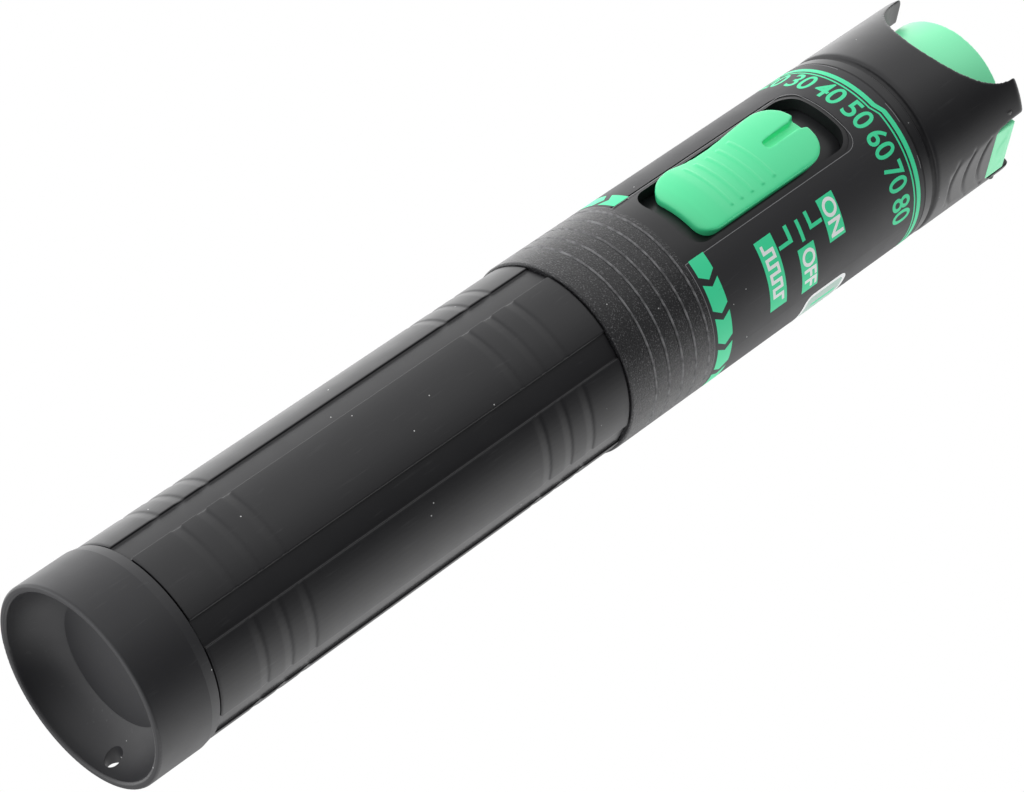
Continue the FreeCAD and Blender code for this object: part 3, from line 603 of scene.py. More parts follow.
@dataclass(frozen=True)
class Moulding:
    """Moulded plastic, rubber or print ink: its colours, gloss and skin, and an optional painted glow
    that adds light in its own colour.
    """

    name: str
    colour: Colour
    worn: Colour
    roughness: float = 0.42
    sheen_spread: float = 0.12
    grain_size: float = 9000.0
    grain: float = 0.5
    unevenness: float = 0.4
    bump: float = 0.2
    lint: float = 1.0
    rub: float = 0.3
    specular: float = 0.5
    painted_glow: float = 0.0
    sandy_end: float = 0.0
    lip_first: float = 0.0
    lip_pitch: float = 2.7 * MM
    lip_width: float = 0.19 * MM

    def build(self, effects: SharedEffects) -> bpy.types.Material:
        """The material for this finish.

        Args:
            effects: the shared groups.

        Returns:
            The material.
        """
        material, nodes = new_material(self.name)
        skin = nodes.add("ShaderNodeGroup", node_tree=effects.skin)
        skin.inputs["Grain Size"].default_value = self.grain_size
        skin.inputs["Grain"].default_value = self.grain
        skin.inputs["Unevenness"].default_value = self.unevenness
        lint = nodes.add("ShaderNodeGroup", node_tree=effects.lint)
        lint.inputs["Density"].default_value = self.lint
        rubbed = nodes.add("ShaderNodeGroup", node_tree=effects.rubbed)
        rubbed.inputs["Strength"].default_value = self.rub
        tone = nodes.mix(rubbed.outputs["Mask"], self.colour, self.worn)
        height = skin.outputs["Height"]
        if self.sandy_end:
            sand = nodes.add("ShaderNodeGroup", node_tree=effects.sand)
            sand.inputs["End"].default_value = self.sandy_end
            sand.inputs["First Lip"].default_value = self.lip_first
            sand.inputs["Lip Pitch"].default_value = self.lip_pitch
            sand.inputs["Lip Width"].default_value = self.lip_width
            height = nodes.math("ADD", height, sand.outputs["Height"])
            # Painted highlights: the grain glints and the groove-lip lines lighten the tone towards
            # light grey.
            tone = nodes.mix(sand.outputs["Painted Highlights"], tone, PAINTED_HIGHLIGHT_GREY)
        dusty = nodes.mix(lint.outputs["Mask"], tone, DUST)
        spread = nodes.math("MULTIPLY", skin.outputs["Patches"], self.sheen_spread)
        rough = nodes.math("ADD", spread, self.roughness - self.sheen_spread / 2)
        bump = nodes.add("ShaderNodeBump")
        bump.inputs["Strength"].default_value = self.bump
        bump.inputs["Distance"].default_value = GRAIN_DEPTH
        nodes.link(height, bump.inputs["Height"])
        shader = nodes.add("ShaderNodeBsdfPrincipled")
        nodes.link(dusty, shader.inputs["Base Color"])
        nodes.link(rough, shader.inputs["Roughness"])
        nodes.link(bump.outputs[0], shader.inputs["Normal"])
        shader.inputs["Specular IOR Level"].default_value = self.specular
        # Painted light: emission in the surface's own colour makes the part glow brighter than its
        # lighting makes it.
        if self.painted_glow:
            nodes.link(dusty, shader.inputs["Emission Color"])
            shader.inputs["Emission Strength"].default_value = self.painted_glow
        nodes.close(shader.outputs[0])
        return material


@dataclass(frozen=True)
class Metal:
    """Turned or plated metal with fine tool lines."""

    name: str
    colour: Colour
    roughness: float = 0.28
    lines: float = 0.3
    line_scale: float = 6000.0
    sheen_spread: float = 0.16
    dulling: float = 0.72

    def build(self, effects: SharedEffects) -> bpy.types.Material:
        """The material for this metal.

        Args:
            effects: the shared groups.

        Returns:
            The finished material.
        """
        material, nodes = new_material(self.name)
        place = nodes.place()
        stretch = nodes.add("ShaderNodeMapping")
        nodes.link(place, stretch.inputs["Vector"])
        stretch.inputs["Scale"].default_value = (0.05, 0.05, 1.0)
        lines = nodes.noise(stretch.outputs[0], self.line_scale, 2.0)
        skin = nodes.add("ShaderNodeGroup", node_tree=effects.skin)
        spread = nodes.math("MULTIPLY", skin.outputs["Patches"], self.sheen_spread)
        rough = nodes.math("ADD", spread, self.roughness - self.sheen_spread / 2)
        dull = tuple(channel * self.dulling for channel in self.colour)
        tone = nodes.mix(skin.outputs["Patches"], self.colour, dull)
        bump = nodes.add("ShaderNodeBump")
        bump.inputs["Strength"].default_value = self.lines
        bump.inputs["Distance"].default_value = TOOL_LINE_DEPTH
        nodes.link(lines, bump.inputs["Height"])
        shader = nodes.add("ShaderNodeBsdfPrincipled")
        shader.inputs["Metallic"].default_value = 1.0
        nodes.link(tone, shader.inputs["Base Color"])
        nodes.link(rough, shader.inputs["Roughness"])
        nodes.link(bump.outputs[0], shader.inputs["Normal"])
        nodes.close(shader.outputs[0])
        return material


@dataclass(frozen=True)
class ClearGlass:
    """Polished lens glass."""

    name: str = "lens_glass"
    sheen_spread: float = 0.06

    def build(self, effects: SharedEffects) -> bpy.types.Material:
        """The glass material, with a little unevenness in its polish.

        Args:
            effects: the shared groups.

        Returns:
            The finished material.
        """
        material, nodes = new_material(self.name)
        skin = nodes.add("ShaderNodeGroup", node_tree=effects.skin)
        rough = nodes.math("MULTIPLY", skin.outputs["Patches"], self.sheen_spread)
        shader = nodes.add("ShaderNodeBsdfPrincipled")
        shader.inputs["Base Color"].default_value = (0.93, 0.97, 0.98, 1.0)
        shader.inputs["Transmission Weight"].default_value = 1.0
        shader.inputs["IOR"].default_value = 1.52
        nodes.link(rough, shader.inputs["Roughness"])
        nodes.close(shader.outputs[0])
        return material


class Paintbox:
    """Every finish of the tool, made once and handed out by the record's slot names."""

    def __init__(self) -> None:
        """Builds all materials."""
        effects = SharedEffects()
        black = (0.016, 0.016, 0.018)
        scuffed = (0.10, 0.10, 0.105)
        finishes = [
            Moulding("grip_black", black, scuffed, roughness=0.40, grain=0.35, bump=0.18),
            Moulding("cup_black", (0.022, 0.022, 0.025), scuffed, roughness=0.46, grain=0.3,
                     bump=0.14),
            Moulding("satin_black", black, scuffed, roughness=0.36, grain=0.25, bump=0.12, lint=0.6),
            Moulding("film_black", (0.026, 0.026, 0.029), scuffed, roughness=0.55, grain=0.3,
                     bump=0.1),
            Moulding("housing_black", black, scuffed, roughness=0.38, grain=0.25, bump=0.3,
                     sandy_end=102.3 * MM, lip_first=90.5 * MM),
            Moulding("dark_pin", (0.02, 0.02, 0.02), scuffed, roughness=0.35, lint=0.0),
            # The greens and the inks are given a painted glow, emission that brightens them beyond their
            # lighting.
            Moulding("mint_green", (0.065, 0.80, 0.345), (0.3, 0.9, 0.6), roughness=0.42, specular=0.95,
                     sheen_spread=0.05, grain=0.2, bump=0.06, lint=0.3, rub=0.1, painted_glow=0.12),
            Moulding("cap_green", (0.24, 0.92, 0.50), (0.4, 0.95, 0.65), roughness=0.35,
                     sheen_spread=0.05, grain=0.2, bump=0.05, lint=0.2, rub=0.1, painted_glow=0.14),
            Moulding("green_ink", (0.05, 0.74, 0.36), (0.03, 0.3, 0.15), roughness=0.5, grain=0.3,
                     bump=0.08, lint=0.4, rub=0.3, painted_glow=0.16),
            Moulding("white_ink", (0.86, 0.88, 0.88), (0.5, 0.6, 0.55), roughness=0.5, grain=0.3,
                     bump=0.08, lint=0.0, rub=0.2, painted_glow=0.18),
            Moulding("pale_ink", (0.50, 0.68, 0.60), (0.4, 0.5, 0.45), roughness=0.5, grain=0.3,
                     bump=0.08, lint=0.0, rub=0.2, painted_glow=0.05),
            # Pale grey lines that paint the highlight along the film's cut edges, darkened in patches to
            # break them up.
            Moulding("painted_edge_highlight", (0.30, 0.30, 0.31), (0.03, 0.03, 0.03), roughness=0.6, grain=0.3,
                     bump=0.2, lint=0.0, rub=1.0),
            Moulding("seal_rubber", (0.02, 0.02, 0.02), (0.05, 0.05, 0.05), roughness=0.6),
            Moulding("grey_plastic", (0.22, 0.225, 0.235), (0.3, 0.3, 0.3), roughness=0.5),
            Moulding("board_mask", (0.01, 0.10, 0.035), (0.05, 0.2, 0.09), roughness=0.3, lint=0.2),
            Moulding("chip_epoxy", (0.012, 0.012, 0.012), (0.05, 0.05, 0.05), roughness=0.55, lint=0.2),
            Moulding("cell_jacket", (0.03, 0.045, 0.08), (0.2, 0.2, 0.22), roughness=0.25, lint=0.2),
            Moulding("white_ceramic", (0.80, 0.79, 0.74), (0.7, 0.7, 0.66), roughness=0.2, lint=0.2),
            Metal("plated_steel", (0.60, 0.60, 0.61)),
            Metal("spring_nickel", (0.68, 0.67, 0.65), roughness=0.2),
            Metal("turned_aluminium", (0.76, 0.76, 0.77), roughness=0.34, lines=0.5),
            Metal("turned_brass", (0.70, 0.52, 0.24), roughness=0.3, lines=0.5),
            Metal("gold_plate", (0.86, 0.62, 0.25), roughness=0.22),
            ClearGlass(),
        ]
        self.by_name = {finish.name: finish.build(effects) for finish in finishes}

    def give(self, piece: bpy.types.Object, name: str) -> None:
        """Gives a piece one finish all over."""
        piece.data.materials.clear()
        piece.data.materials.append(self.by_name[name])


NODE_FINISH = {
    "tail_cup": "cup_black",
    "grip_sleeve": "grip_black",
    "battery_tube": "turned_aluminium",
    "spring_plate": "plated_steel",
    "tail_spring": "spring_nickel",
    "cell_rear": "cell_jacket",
    "cell_front": "cell_jacket",
    "seal_ring": "seal_rubber",
    "front_housing": "housing_black",
    "label_film": "film_black",
    "thumb_slider": "mint_green",
    "slider_shutter": "satin_black",
    "switch_lever": "grey_plastic",
    "inner_carrier": "grey_plastic",
    "circuit_board": "board_mask",
    "slide_switch": "plated_steel",
    "control_chip": "chip_epoxy",
    "board_screws": "plated_steel",
    "contact_disc": "board_mask",
    "contact_stud": "gold_plate",
    "laser_holder": "turned_brass",
    "laser_can": "gold_plate",
    "collimating_lens": "lens_glass",
    "port_barrel": "plated_steel",
    "alignment_sleeve": "white_ceramic",
    "collar_ring": "satin_black",
    "crown_guard": "satin_black",
    "dust_cap": "mint_green",
    "hinge_pin": "dark_pin",
}


# ---------------------------------------------------------------- flat prints


class FlatArt:
    """Flat shapes in the (u, z) plane that are rolled onto the barrel."""

    strip = 0.5 * MM
    letter_strip = 0.4 * MM
    capital_share = 0.73

    def __init__(self, lift: float) -> None:
        """Starts empty.

        Args:
            lift: how far the ink stands above the film, in metres.
        """
        self.lift = lift
        self.parts: list[bpy.types.Object] = []

    def polygon(self, points: list[Point]) -> None:
        """Adds a filled outline.

        Args:
            points: (u, z) corners in metres, in order round the outline.
        """
        deselect_all()
        bpy.ops.mesh.primitive_circle_add(vertices=len(points), radius=0.01, fill_type="NGON")
        piece = bpy.context.object
        for vertex, (u, z) in zip(piece.data.vertices, points):
            vertex.co = (u, 0.0, z)
        self._add(piece, self.strip)

    def box(self, low: Point, high: Point) -> None:
        """Adds an upright rectangle between two corners."""
        self.polygon([(low[0], low[1]), (high[0], low[1]), (high[0], high[1]), (low[0], high[1])])

    def frame(self, low: Point, high: Point, corner: float, width: float) -> None:
        """Adds a rounded rectangle's outline of even width.

        Args:
            low: the corner nearest the tail, as (u, z).
            high: the corner nearest the head.
            corner: the outer corners' radius.
            width: the line's width, which runs inwards.
        """
        steps = 6
        ring: list[tuple[Point, Point]] = []
        centres = [
            (high[0] - corner, high[1] - corner, 0),
            (low[0] + corner, high[1] - corner, 90),
            (low[0] + corner, low[1] + corner, 180),
            (high[0] - corner, low[1] + corner, 270),
        ]
        for cu, cz, start in centres:
            for step in range(steps + 1):
                angle = math.radians(start + 90 * step / steps)
                out = (cu + corner * math.cos(angle), cz + corner * math.sin(angle))
                inner = corner - width
                ring.append((out, (cu + inner * math.cos(angle), cz + inner * math.sin(angle))))
        for index, (out, inside) in enumerate(ring):
            next_out, next_inside = ring[(index + 1) % len(ring)]
            self.polygon([out, next_out, next_inside, inside])

    def path(self, points: list[Point], width: float) -> None:
        """Adds a line of even width.

        Args:
            points: the (u, z) points that it runs through.
            width: its width.
        """
        for (u0, z0), (u1, z1) in zip(points, points[1:]):
            length = math.hypot(u1 - u0, z1 - z0)
            across = ((z0 - z1) / length * width / 2, (u1 - u0) / length * width / 2)
            self.polygon([(u0 - across[0], z0 - across[1]), (u1 - across[0], z1 - across[1]),
                          (u1 + across[0], z1 + across[1]), (u0 + across[0], z0 + across[1])])

    def figures(self, text: str, u: float, z: float, height: float, width: float = 1.0,
                weight: float = 0.0) -> None:
        """Adds figures or OFF and ON, with their tops towards the head.

        Args:
            text: the figures.
            u: their middle along the arc.
            z: their middle along the axis.
            height: the height of a figure.
            width: how much wider they are drawn than the typeface has them.
            weight: how far their strokes are thickened.
        """
        deselect_all()
        bpy.ops.object.text_add()
        piece = bpy.context.object
        piece.data.body = text
        piece.data.align_x = "CENTER"
        piece.data.align_y = "CENTER"
        piece.data.size = height / self.capital_share
        piece.data.offset = weight
        piece.data.resolution_u = 6
        bpy.ops.object.convert(target="MESH")
        piece = bpy.context.object
        piece.scale = (width, 1.0, 1.0)
        piece.rotation_euler = (math.pi / 2, 0.0, 0.0)
        piece.location = (u, 0.0, z)
        bake_place(piece)
        self._add(piece, self.letter_strip)

    def _add(self, piece: bpy.types.Object, strip: float) -> None:
        """Keeps a shape, divided across u so that it can be rolled.

        Args:
            piece: the flat shape.
            strip: the widest strip that it is divided into.
        """
        make_active(piece)
        low = min(vertex.co.x for vertex in piece.data.vertices)
        high = max(vertex.co.x for vertex in piece.data.vertices)
        count = math.ceil((high - low) / strip)
        bpy.ops.object.mode_set(mode="EDIT")
        for index in range(1, count):
            bpy.ops.mesh.select_all(action="SELECT")
            place = (low + (high - low) * index / count, 0.0, 0.0)
            bpy.ops.mesh.bisect(plane_co=place, plane_no=(1.0, 0.0, 0.0))
        bpy.ops.object.mode_set(mode="OBJECT")
        self.parts.append(piece)

    def roll(self, name: str) -> bpy.types.Object:
        """Joins the shapes and rolls them round the barrel.

        Args:
            name: the piece's name.

        Returns:
            The rolled print.
        """
        piece = join(name, self.parts)
        piece.location = (0.0, -self.lift, 0.0)
        bake_place(piece)
        roll(piece)
        return piece


def at(degrees: float) -> float:
    """The flat place of an angle round the barrel from the slider's line."""
    return degrees * PER_DEGREE


@dataclass
class LabelPrints:
    """Prints of the film round the barrel, and painted highlight lines along its cut edges.

    Bearings are degrees from the slider's line. A mark holds its left and right bearings and its
    low and high edges in millimetres. A frayed place holds two bearings and its height. The ring
    route holds bearings and shares of the jog.
    """

    paints: Paintbox
    ink_lift: float = 0.012 * MM
    white_lift: float = 1.8
    pale_lift: float = 0.6
    edge_lift: float = 0.5
    heavier: float = 0.08 * MM
    chevron_low: float = 103.1 * MM
    chevron_high: float = 106.1 * MM
    chevron_point: float = 4.0
    chevron_body: float = 15.2
    chevron_pitch: float = 19.8
    chevron_notch: float = 0.85
    chevron_first: float = 28.0
    chevron_last: float = 333.0
    first_arrow: float = 14.0
    first_gap: float = 0.7
    edge_width: float = 0.09 * MM
    marks: tuple[tuple[float, float, float, float], ...] = (
        (40.0, 82.5, 114.1, 117.6), (57.5, 85.5, 120.9, 124.3), (40.0, 65.5, 127.3, 130.7),
        (49.3, 51.6, 117.9, 120.7), (41.2, 49.3, 120.0, 120.7), (42.2, 55.0, 122.3, 122.95),
        (41.2, 49.3, 124.35, 125.0), (49.3, 51.6, 124.35, 127.0),
    )
    word_height: float = 2.6 * MM
    pulse_low: float = 114.75 * MM
    pulse_high: float = 117.0 * MM
    pulse_line: float = 0.5 * MM
    pulse_first: float = 43.5
    pulse_step: float = 4.4
    pulse_count: int = 4
    badge_low: tuple[float, float] = (93.0, 122.6)
    badge_high: tuple[float, float] = (134.0, 131.5)
    badge_figure: float = 5.4 * MM
    badge_corner: float = 1.6 * MM
    badge_line: float = 0.7 * MM
    badge_inset: float = 0.3 * MM
    scale_first: float = -68.0
    scale_pitch: float = 20.6
    scale_count: int = 8
    scale_middle: float = 142.55 * MM
    scale_height: float = 3.9 * MM
    scale_width: float = 0.84
    ring_lines: tuple[tuple[float, float], ...] = ((144.95, 145.25), (145.6, 146.45))
    ring_jog: float = 0.65
    ring_route: tuple[tuple[float, float], ...] = (
        (-170.0, 0.0), (15.0, 0.0), (21.0, 1.0), (182.0, 1.0), (188.0, 0.0), (190.0, 0.0),
    )
    cut_left: float = -26.5
    cut_right: float = 28.5
    cut_top: float = 139.25 * MM
    cut_corner: float = 2.2 * MM
    film_tail: float = 102.42 * MM
    fray_rise: float = 0.05
    frayed: tuple[tuple[float, float, float], ...] = (
        (-96.0, -78.0, 147.86), (-42.0, -17.0, 147.9), (18.0, 31.0, 147.84), (52.0, 60.0, 147.9),
    )

    def build(self) -> list[bpy.types.Object]:
        """Makes the film's prints, one piece for each ink, and the painted highlight lines along its cut
        edges.

        Returns:
            The four pieces.
        """
        green = FlatArt(self.ink_lift)
        self._arrow_band(green)
        self._switch_marks(green)
        self._head_band(green)
        white = FlatArt(self.ink_lift * self.white_lift)
        self._switch_words(white)
        pale = FlatArt(self.ink_lift * self.pale_lift)
        self._badge(green, white, pale)
        # Painted highlight lines along the film's cut edges and at the frayed places of its head edge.
        edges = FlatArt(self.ink_lift * self.edge_lift)
        self._film_edges(edges)
        made = [green.roll("label_print_green"), white.roll("label_print_white"),
                pale.roll("label_print_pale"), edges.roll("film_edge_highlights")]
        for piece, finish in zip(made, ("green_ink", "white_ink", "pale_ink", "painted_edge_highlight")):
            self.paints.give(piece, finish)
            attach(piece, "head")
        return made

    def _arrow_band(self, art: FlatArt) -> None:
        """The row of arrows that runs round the tail edge of the film.

        Args:
            art: the ink that they are printed in.
        """
        low, high = self.chevron_low, self.chevron_high
        middle = (low + high) / 2
        tip = self.chevron_first + self.first_arrow
        side = tip - self.chevron_point
        art.polygon([(at(self.chevron_first), low), (at(side), low), (at(tip), middle),
                     (at(side), high), (at(self.chevron_first), high)])
        start = tip + self.first_gap
        while start < self.chevron_last - self.chevron_point:
            end = min(start + self.chevron_body, self.chevron_last)
            notch = start + self.chevron_point * self.chevron_notch
            outline = [(at(start), low), (at(end), low)]
            if end < self.chevron_last:
                outline.append((at(end + self.chevron_point), middle))
            outline += [(at(end), high), (at(start), high), (at(notch), middle)]
            art.polygon(outline)
            start += self.chevron_pitch

    def _switch_marks(self, art: FlatArt) -> None:
        """Three boxes and the lines that join them to the slider's three positions."""
        for left, right, low, high in self.marks:
            art.box((at(left), low * MM), (at(right), high * MM))

    def _switch_words(self, art: FlatArt) -> None:
        """OFF, ON and a pulse line in the boxes.

        Args:
            art: the ink that they are printed in.
        """
        art.figures("OFF", at(71.5), 122.6 * MM, self.word_height, 1.0, self.heavier)
        art.figures("ON", at(52.8), 129.0 * MM, self.word_height, 1.05, self.heavier)
        low, high, line = self.pulse_low, self.pulse_high, self.pulse_line
        for index in range(self.pulse_count):
            left = self.pulse_first + self.pulse_step * 2 * index
            rise, fall = at(left + self.pulse_step), at(left + self.pulse_step * 2)
            art.box((at(left), low), (rise, low + line))
            art.box((rise - line / 2, low), (rise + line / 2, high))
            art.box((rise, high - line), (fall, high))
            if index < self.pulse_count - 1:
                art.box((fall - line / 2, low), (fall + line / 2, high))

    def _badge(self, green: FlatArt, white: FlatArt, pale: FlatArt) -> None:
        """A rounded box with a plain figure.

        Args:
            green: the figure's ink.
            white: the frame's ink.
            pale: the ink that fills the box.
        """
        low, high = ((at(bearing), z * MM) for bearing, z in (self.badge_low, self.badge_high))
        white.frame(low, high, self.badge_corner, self.badge_line)
        inset, corner = self.badge_inset, self.badge_corner - self.badge_inset
        inner_low = (low[0] + inset, low[1] + inset)
        inner_high = (high[0] - inset, high[1] - inset)
        pale.polygon(rounded(inner_low, inner_high, corner, corner))
        middle = ((low[0] + high[0]) / 2, (low[1] + high[1]) / 2)
        green.figures("10", *middle, self.badge_figure, 1.1, self.heavier)

    def _film_edges(self, art: FlatArt) -> None:
        """Painted highlight lines along the film's cut edges: its tail edge and the cut-out for the
        slider.

        Args:
            art: the edges' shapes.
        """
        left, right, tail = at(self.cut_left), at(self.cut_right), self.film_tail
        top, corner = self.cut_top, self.cut_corner
        arc = []
        for middle, start in ((right - corner, 0), (left + corner, 90)):
            for turn in range(start, start + 91, 15):
                angle = math.radians(turn)
                arc.append((middle + corner * math.cos(angle), top - corner + corner * math.sin(angle)))
        art.path([(right, tail), *arc, (left, tail)], self.edge_width)
        art.path([(right, tail), (at(180.0), tail)], self.edge_width)
        art.path([(at(-180.0), tail), (left, tail)], self.edge_width)
        for low, high, z in self.frayed:
            middle = (at((low + high) / 2), (z + self.fray_rise) * MM)
            art.path([(at(low), z * MM), middle, (at(high), z * MM)], self.edge_width)

    def _head_band(self, art: FlatArt) -> None:
        """A dial scale round the head end of the film, and the two lines beyond it.

        Args:
            art: the ink that they are printed in.
        """
        for index in range(self.scale_count):
            place = at(self.scale_first + self.scale_pitch * index)
            art.figures(str(10 * (index + 1)), place, self.scale_middle, self.scale_height,
                        self.scale_width, self.heavier)
        for low, high in self.ring_lines:
            lower = [
                (at(bearing), (low + share * self.ring_jog) * MM) for bearing, share in self.ring_route
            ]
            upper = [(u, z + (high - low) * MM) for u, z in reversed(lower)]
            art.polygon(lower + upper)


# ---------------------------------------------------------------- moulded skins


@dataclass
class ThumbSlider:
    """The slider's moulded skin: a saddle between two bumps, crowned like the barrel.

    The crest holds (z, radius) pairs in millimetres along the skin's middle line. The cutter's
    reach is how far the tools go inwards and outwards of the barrel.
    """

    paints: Paintbox
    half_width: float = 6.0 * MM
    tail: float = 108.6 * MM
    head: float = 134.1 * MM
    tail_corner: float = 2.6 * MM
    head_corner: float = 3.9 * MM
    seat: float = 12.74 * MM
    crest: tuple[tuple[float, float], ...] = (
        (108.6, 13.8), (109.1, 14.3), (110.1, 15.0), (111.3, 15.5), (112.6, 15.75), (114.0, 15.6),
        (116.0, 15.2), (118.2, 14.98), (121.0, 14.95), (123.5, 15.1), (126.0, 15.42), (128.5, 15.65),
        (131.0, 15.75), (134.1, 15.75),
    )
    slot_half: float = 0.78 * MM
    slot_tail: float = 126.5 * MM
    slot_floor: float = 14.65 * MM
    rib_first: float = 114.6 * MM
    rib_pitch: float = 2.3 * MM
    rib_count: int = 5
    rib_radius: float = 0.5 * MM
    rib_half: float = 4.3 * MM
    rib_rise: float = 0.17 * MM
    blank_width: float = 1.4
    cutter_out: float = -4 * MM
    cutter_in: float = 6 * MM
    slot_out: float = -3 * MM
    mouth_length: float = 1.5 * MM
    mouth_flare: float = 2.3
    past_end: float = 1 * MM
    body_voxel: float = 0.16 * MM
    body_rounding: int = 26
    rib_voxel: float = 0.13 * MM
    rib_rounding: int = 4

    def build(self) -> bpy.types.Object:
        """Makes the skin in place of the plain slider.

        Returns:
            The finished slider.
        """
        side = [(-self._out(r * MM), z * MM) for z, r in self.crest]
        side += [(-self._out(self.seat), self.head), (-self._out(self.seat), self.tail)]
        half_blank = self.half_width * self.blank_width
        piece = prism(side, Plane.SIDE, -half_blank, half_blank)
        plan = rounded((-self.half_width, self.tail), (self.half_width, self.head),
                       self.tail_corner, self.head_corner)
        combine(piece, prism(plan, Plane.PLAN, self.cutter_out, self.cutter_in), Overlap.KEPT)
        soften(piece, self.body_voxel, self.body_rounding)
        combine(piece, self._slot(), Overlap.REMOVED)
        piece = join("thumb_slider_skin", [piece, *self._ribs()])
        soften(piece, self.rib_voxel, self.rib_rounding)
        roll(piece)
        smooth(piece)
        self.paints.give(piece, "mint_green")
        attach(piece, "slider")
        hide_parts("thumb_slider")
        return piece

    def _out(self, radius: float) -> float:
        """How far a radius lies outside the barrel."""
        return radius - BARREL_RADIUS

    def _slot(self) -> bpy.types.Object:
        """The pointer slot, with a round tail end and an open mouth.

        Returns:
            The tool that cuts it.
        """
        half, tail = self.slot_half, self.slot_tail
        outline = []
        for turn in range(180, 361, 20):
            angle = math.radians(turn)
            outline.append((half * math.cos(angle), tail + half + half * math.sin(angle)))
        mouth, past = self.head - self.mouth_length, self.head + self.past_end
        flare = half * self.mouth_flare
        outline += [(half, mouth), (flare, past), (-flare, past), (-half, mouth)]
        return prism(outline, Plane.PLAN, self.slot_out, -self._out(self.slot_floor))

    def _ribs(self) -> list[bpy.types.Object]:
        """Low round ribs across the saddle.

        Returns:
            The ribs, each closed.
        """
        ribs = []
        for index in range(self.rib_count):
            z = self.rib_first + self.rib_pitch * index
            out = self._out(self._crest_at(z)) - self.rib_radius + self.rib_rise
            deselect_all()
            bpy.ops.mesh.primitive_cylinder_add(
                vertices=24, radius=self.rib_radius, depth=self.rib_half * 2,
                location=(0.0, -out, z), rotation=(0.0, math.pi / 2, 0.0),
            )
            rib = bpy.context.object
            bake_place(rib)
            ribs.append(rib)
        return ribs

    def _crest_at(self, z: float) -> float:
        """The skin's radius on its middle line.

        Args:
            z: the height.

        Returns:
            The radius there.
        """
        for (z0, r0), (z1, r1) in zip(self.crest, self.crest[1:]):
            if z0 * MM <= z <= z1 * MM:
                return (r0 + (r1 - r0) * (z / MM - z0) / (z1 - z0)) * MM
        return self.crest[-1][1] * MM


@dataclass
class DustCap:
    """The green dust cap with its hinge bar, softly moulded."""

    paints: Paintbox
    disc_radius: float = 11.05 * MM
    disc_low: float = 163.0 * MM
    disc_high: float = 171.05 * MM
    bar_low: Vector = field(default_factory=lambda: Vector((12.35, -4.6, 164.9)) * MM)
    bar_high: Vector = field(default_factory=lambda: Vector((14.05, 4.6, 169.4)) * MM)
    facets: int = 128
    voxel: float = 0.2 * MM
    rounding: int = 9

    def build(self) -> bpy.types.Object:
        """Makes the cap in place of the plain one.

        Returns:
            The finished cap.
        """
        cap = copy_of("dust_cap", "dust_cap_skin")
        disc = drum(self.disc_radius, self.disc_low, self.disc_high, self.facets)
        piece = join("dust_cap_skin", [cap, disc, block(self.bar_low, self.bar_high)])
        soften(piece, self.voxel, self.rounding)
        smooth(piece)
        self.paints.give(piece, "cap_green")
        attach(piece, "cap")
        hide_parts("dust_cap")
        return piece


@dataclass
class GripSleeve:
    """The grip with the shallow grooves of its moulding, at a share of their drawn depth."""

    paints: Paintbox
    outer: float = 14.5 * MM
    inner: float = 13.2 * MM
    depth_share: float = 0.42
    voxel: float = 0.2 * MM
    rounding: int = 1
    kept_faces: float = 0.22

    def build(self) -> bpy.types.Object:
        """Makes the grip in place of the plain one.

        Returns:
            The finished grip.
        """
        piece = copy_of("grip_sleeve", "grip_sleeve_skin")
        soften(piece, self.voxel, self.rounding)
        for vertex in piece.data.vertices:
            radius = math.hypot(vertex.co.x, vertex.co.y)
            if self.inner < radius < self.outer:
                eased = self.outer - (self.outer - radius) * self.depth_share
                vertex.co.x *= eased / radius
                vertex.co.y *= eased / radius
        thin(piece, self.kept_faces)
        smooth(piece)
        self.paints.give(piece, "grip_black")
        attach(piece, "handle")
        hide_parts("grip_sleeve")
        return piece


@dataclass
class CrownGuard:
    """The crown with the soft edges of its moulding."""

    paints: Paintbox
    outer: float = 14.86 * MM
    fill_low: Vector = field(default_factory=lambda: Vector((11.9, 5.6, 167.1)) * MM)
    fill_high: Vector = field(default_factory=lambda: Vector((14.9, 8.2, 169.4)) * MM)
    facets: int = 256
    voxel: float = 0.16 * MM
    rounding: int = 24
    kept_faces: float = 0.3

    def build(self) -> bpy.types.Object:
        """Makes the crown in place of the plain one.

        Returns:
            The finished crown.
        """
        crown = copy_of("crown_guard", "crown_guard_skin")
        piece = join("crown_guard_skin", [crown, self._fill(1.0), self._fill(-1.0)])
        soften(piece, self.voxel, self.rounding)
        thin(piece, self.kept_faces)
        smooth(piece)
        self.paints.give(piece, "satin_black")
        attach(piece, "head")
        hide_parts("crown_guard")
        return piece

    def _fill(self, side: float) -> bpy.types.Object:
        """The ear's full wall over one end of the hinge pin.

        Args:
            side: 1 for the ear towards +Y, -1 for the other.

        Returns:
            The piece of wall.
        """
        low, high = self.fill_low, self.fill_high
        wall = drum(self.outer, low.z, high.z, self.facets)
        past = (high.z - low.z) / 4
        corner = Vector((low.x, side * low.y, low.z - past))
        opposite = Vector((high.x, side * high.y, high.z + past))
        combine(wall, block(corner, opposite), Overlap.KEPT)
        return wall


# ---------------------------------------------------------------- studio


